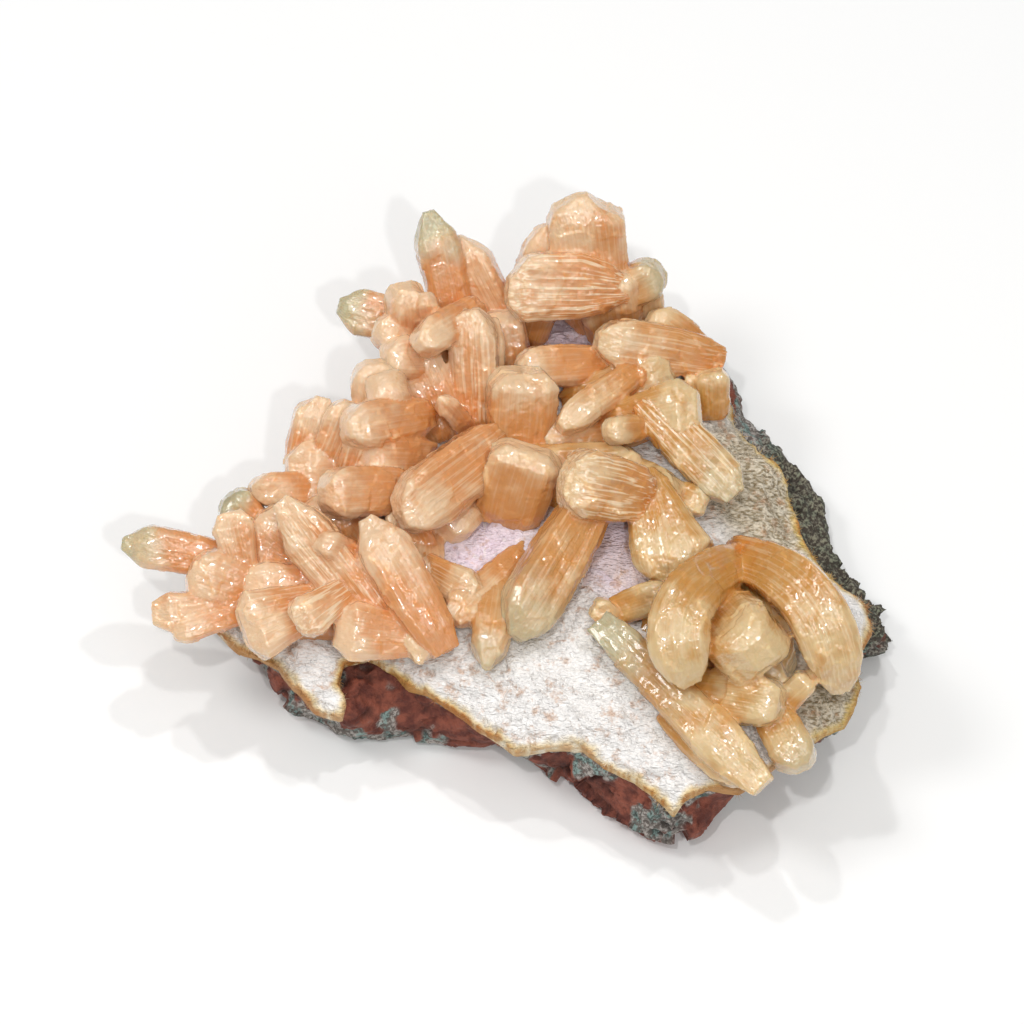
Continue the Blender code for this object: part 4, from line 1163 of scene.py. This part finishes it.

# %% [markdown]
# ### The finish of mordenite
# The mat is dull and nearly white. Its colour is laid on layer by layer: lilac and cream, the painted
# olive shade beside the crystals, specks of rust, then the yellow and the brown of the rim. One function
# gives it to the mat and to the hairs that stand on it, so that the two can't be told apart.

# %% Mordenite material
# Mordenite: a white zeolite in hairs under a hundredth of a millimetre. The eye gets a dull white
# mat; the specks are rust. The threads are drawn coarser than the real hairs, so that they show.
THREAD = 1 / (0.30 * MM)
SPECK = 1 / (1.6 * MM)
STAINS_AND_SHADE = ("rim", "brink", "shade", "lilac", "cream")


def felt_colour(tree):
    """White to lilac felt with its specks, stains and painted shade, and the noise of its threads."""
    place = node(tree, "ShaderNodeTexCoord").outputs["Object"]
    combed = node(tree, "ShaderNodeMapping", inputs={"Vector": place, "Rotation": (0, 0, -COMB_TURN),
                                                     "Scale": (0.45, 1, 1)}).outputs["Vector"]
    fields = {name: node(tree, "ShaderNodeAttribute", {"attribute_name": name}).outputs["Fac"]
              for name in STAINS_AND_SHADE}
    threads = node(tree, "ShaderNodeTexNoise",
                   inputs={"Vector": combed, "Scale": THREAD, "Detail": 1.5,
                           "Roughness": 0.65}).outputs["Fac"]
    specks = node(tree, "ShaderNodeTexNoise",
                  inputs={"Vector": place, "Scale": SPECK, "Detail": 3.0, "Roughness": 0.7}).outputs["Fac"]
    shown = blend(tree, fields["lilac"], colour("FBF8F5"), colour("F2E2EE"))
    stained = blend(tree, ramp(tree, threads, 0.35, 0.6), colour("9C8B6C"), colour("E4D9C4"))
    shown = blend(tree, fields["cream"], shown, stained)
    # Painted shade: the felt beside the crystals is mixed towards olive-grey.
    shown = blend(tree, maths(tree, "MULTIPLY", fields["shade"], 0.15), shown, colour("B5AA90"))
    rusty = maths(tree, "MULTIPLY", ramp(tree, specks, 0.53, 0.70), 0.65)
    shown = blend(tree, rusty, shown, colour("C89A74"))
    shown = blend(tree, fields["rim"], shown, colour("E8C76C"))
    return blend(tree, fields["brink"], shown, colour("B86E1E")), threads


mordenite, tree, shader = new_material("felted_mordenite")
shown, threads = felt_colour(tree)
relief = node(tree, "ShaderNodeBump", inputs={"Height": threads, "Strength": 1.0, "Distance": 0.55 * MM})
set_inputs(tree, shader, {
    "Base Color": shown, "Roughness": 0.7, "IOR": 1.48, "Normal": relief.outputs["Normal"],
})
finish_piece(felt, mordenite, "mordenite", "mordenite_crust")

# %% Hair material
# The same mineral as single hairs, a little glossier than the mat, because each one is smooth.
hair_white, tree, shader = new_material("mordenite_hair")
shown, threads = felt_colour(tree)
set_inputs(tree, shader, {"Base Color": shown, "Roughness": 0.5, "IOR": 1.48})
print("mordenite_hair:", len(tree.nodes), "nodes")

# %% [markdown]
# ### The hairs
# Under a lens the felt is sprays of hairs. One spray of thin cones is modelled, then copied all over
# the felt where no crystal covers it. The copies are joined into one mesh, since a hair is only a
# few faces, and they carry the stains and the painted shade of the felt where they stand.

# %% Model one spray
# Each hair is given by how far it leans and which way, in degrees.
HAIR_LENGTH = 0.85
HAIR_WIDTH = 0.032
HAIRS = [(30, 0), (62, 40), (70, 110), (58, 185), (72, 250), (66, 320)]

deselect()
hairs = []
for lean, way in HAIRS:
    bpy.ops.mesh.primitive_cone_add(vertices=3, radius1=HAIR_WIDTH, radius2=0, depth=HAIR_LENGTH,
                                    location=(0, 0, 0))
    hair = bpy.context.object
    bpy.ops.object.mode_set(mode="EDIT")
    bpy.ops.transform.translate(value=(0, 0, HAIR_LENGTH / 2))
    bpy.ops.transform.rotate(value=math.radians(-lean), orient_axis="Y", center_override=(0, 0, 0))
    bpy.ops.transform.rotate(value=math.radians(-way), orient_axis="Z", center_override=(0, 0, 0))
    bpy.ops.object.mode_set(mode="OBJECT")
    hairs.append(hair)
for item in hairs:
    item.select_set(True)
bpy.ops.object.join()
spray = bpy.context.object
spray_points = points_of(spray) * MM
spray_faces = np.array([list(face.vertices) for face in spray.data.polygons])
bpy.data.objects.remove(spray)
print("one spray:", len(spray_points), "points,", len(spray_faces), "faces")

# %% Copy the spray over the felt
SPRAY_COUNT = 4000

random = np.random.default_rng(17)
points, normals = points_of(felt), normals_of(felt)
open_to_air = np.flatnonzero((normals[:, 2] > 0.1) & (to_crystal > 0.25))
chosen = random.choice(open_to_air, SPRAY_COUNT, replace=False)
upright = normals[chosen] + random.normal(0, 0.22, (SPRAY_COUNT, 3))
upright /= np.linalg.norm(upright, axis=1)[:, None]
beside = np.cross(upright, random.normal(size=(SPRAY_COUNT, 3)))
beside /= np.linalg.norm(beside, axis=1)[:, None]
turned = np.stack((beside, np.cross(upright, beside), upright), axis=1)
sizes = random.uniform(0.6, 1.2, SPRAY_COUNT)
sprays = np.einsum("pa,nab->npb", spray_points, turned) * sizes[:, None, None]
sprays += (points[chosen] - 0.06 * upright)[:, None, :]
corners = spray_faces[None] + len(spray_points) * np.arange(SPRAY_COUNT)[:, None, None]
mesh = bpy.data.meshes.new("mordenite_hairs")
mesh.from_pydata((keep_in_box(sprays.reshape(-1, 3)) * MM).tolist(), [], corners.reshape(-1, 3).tolist())
hair_piece = bpy.data.objects.new("mordenite_hairs", mesh)
bpy.context.scene.collection.objects.link(hair_piece)
# The hairs take the stains and the painted shade of the felt below them.
for name in STAINS_AND_SHADE:
    values = np.empty(len(points), np.float32)
    felt.data.attributes[name].data.foreach_get("value", values)
    give_values(hair_piece, name, np.repeat(values[chosen], len(spray_points)))
finish_piece(hair_piece, hair_white, "mordenite")
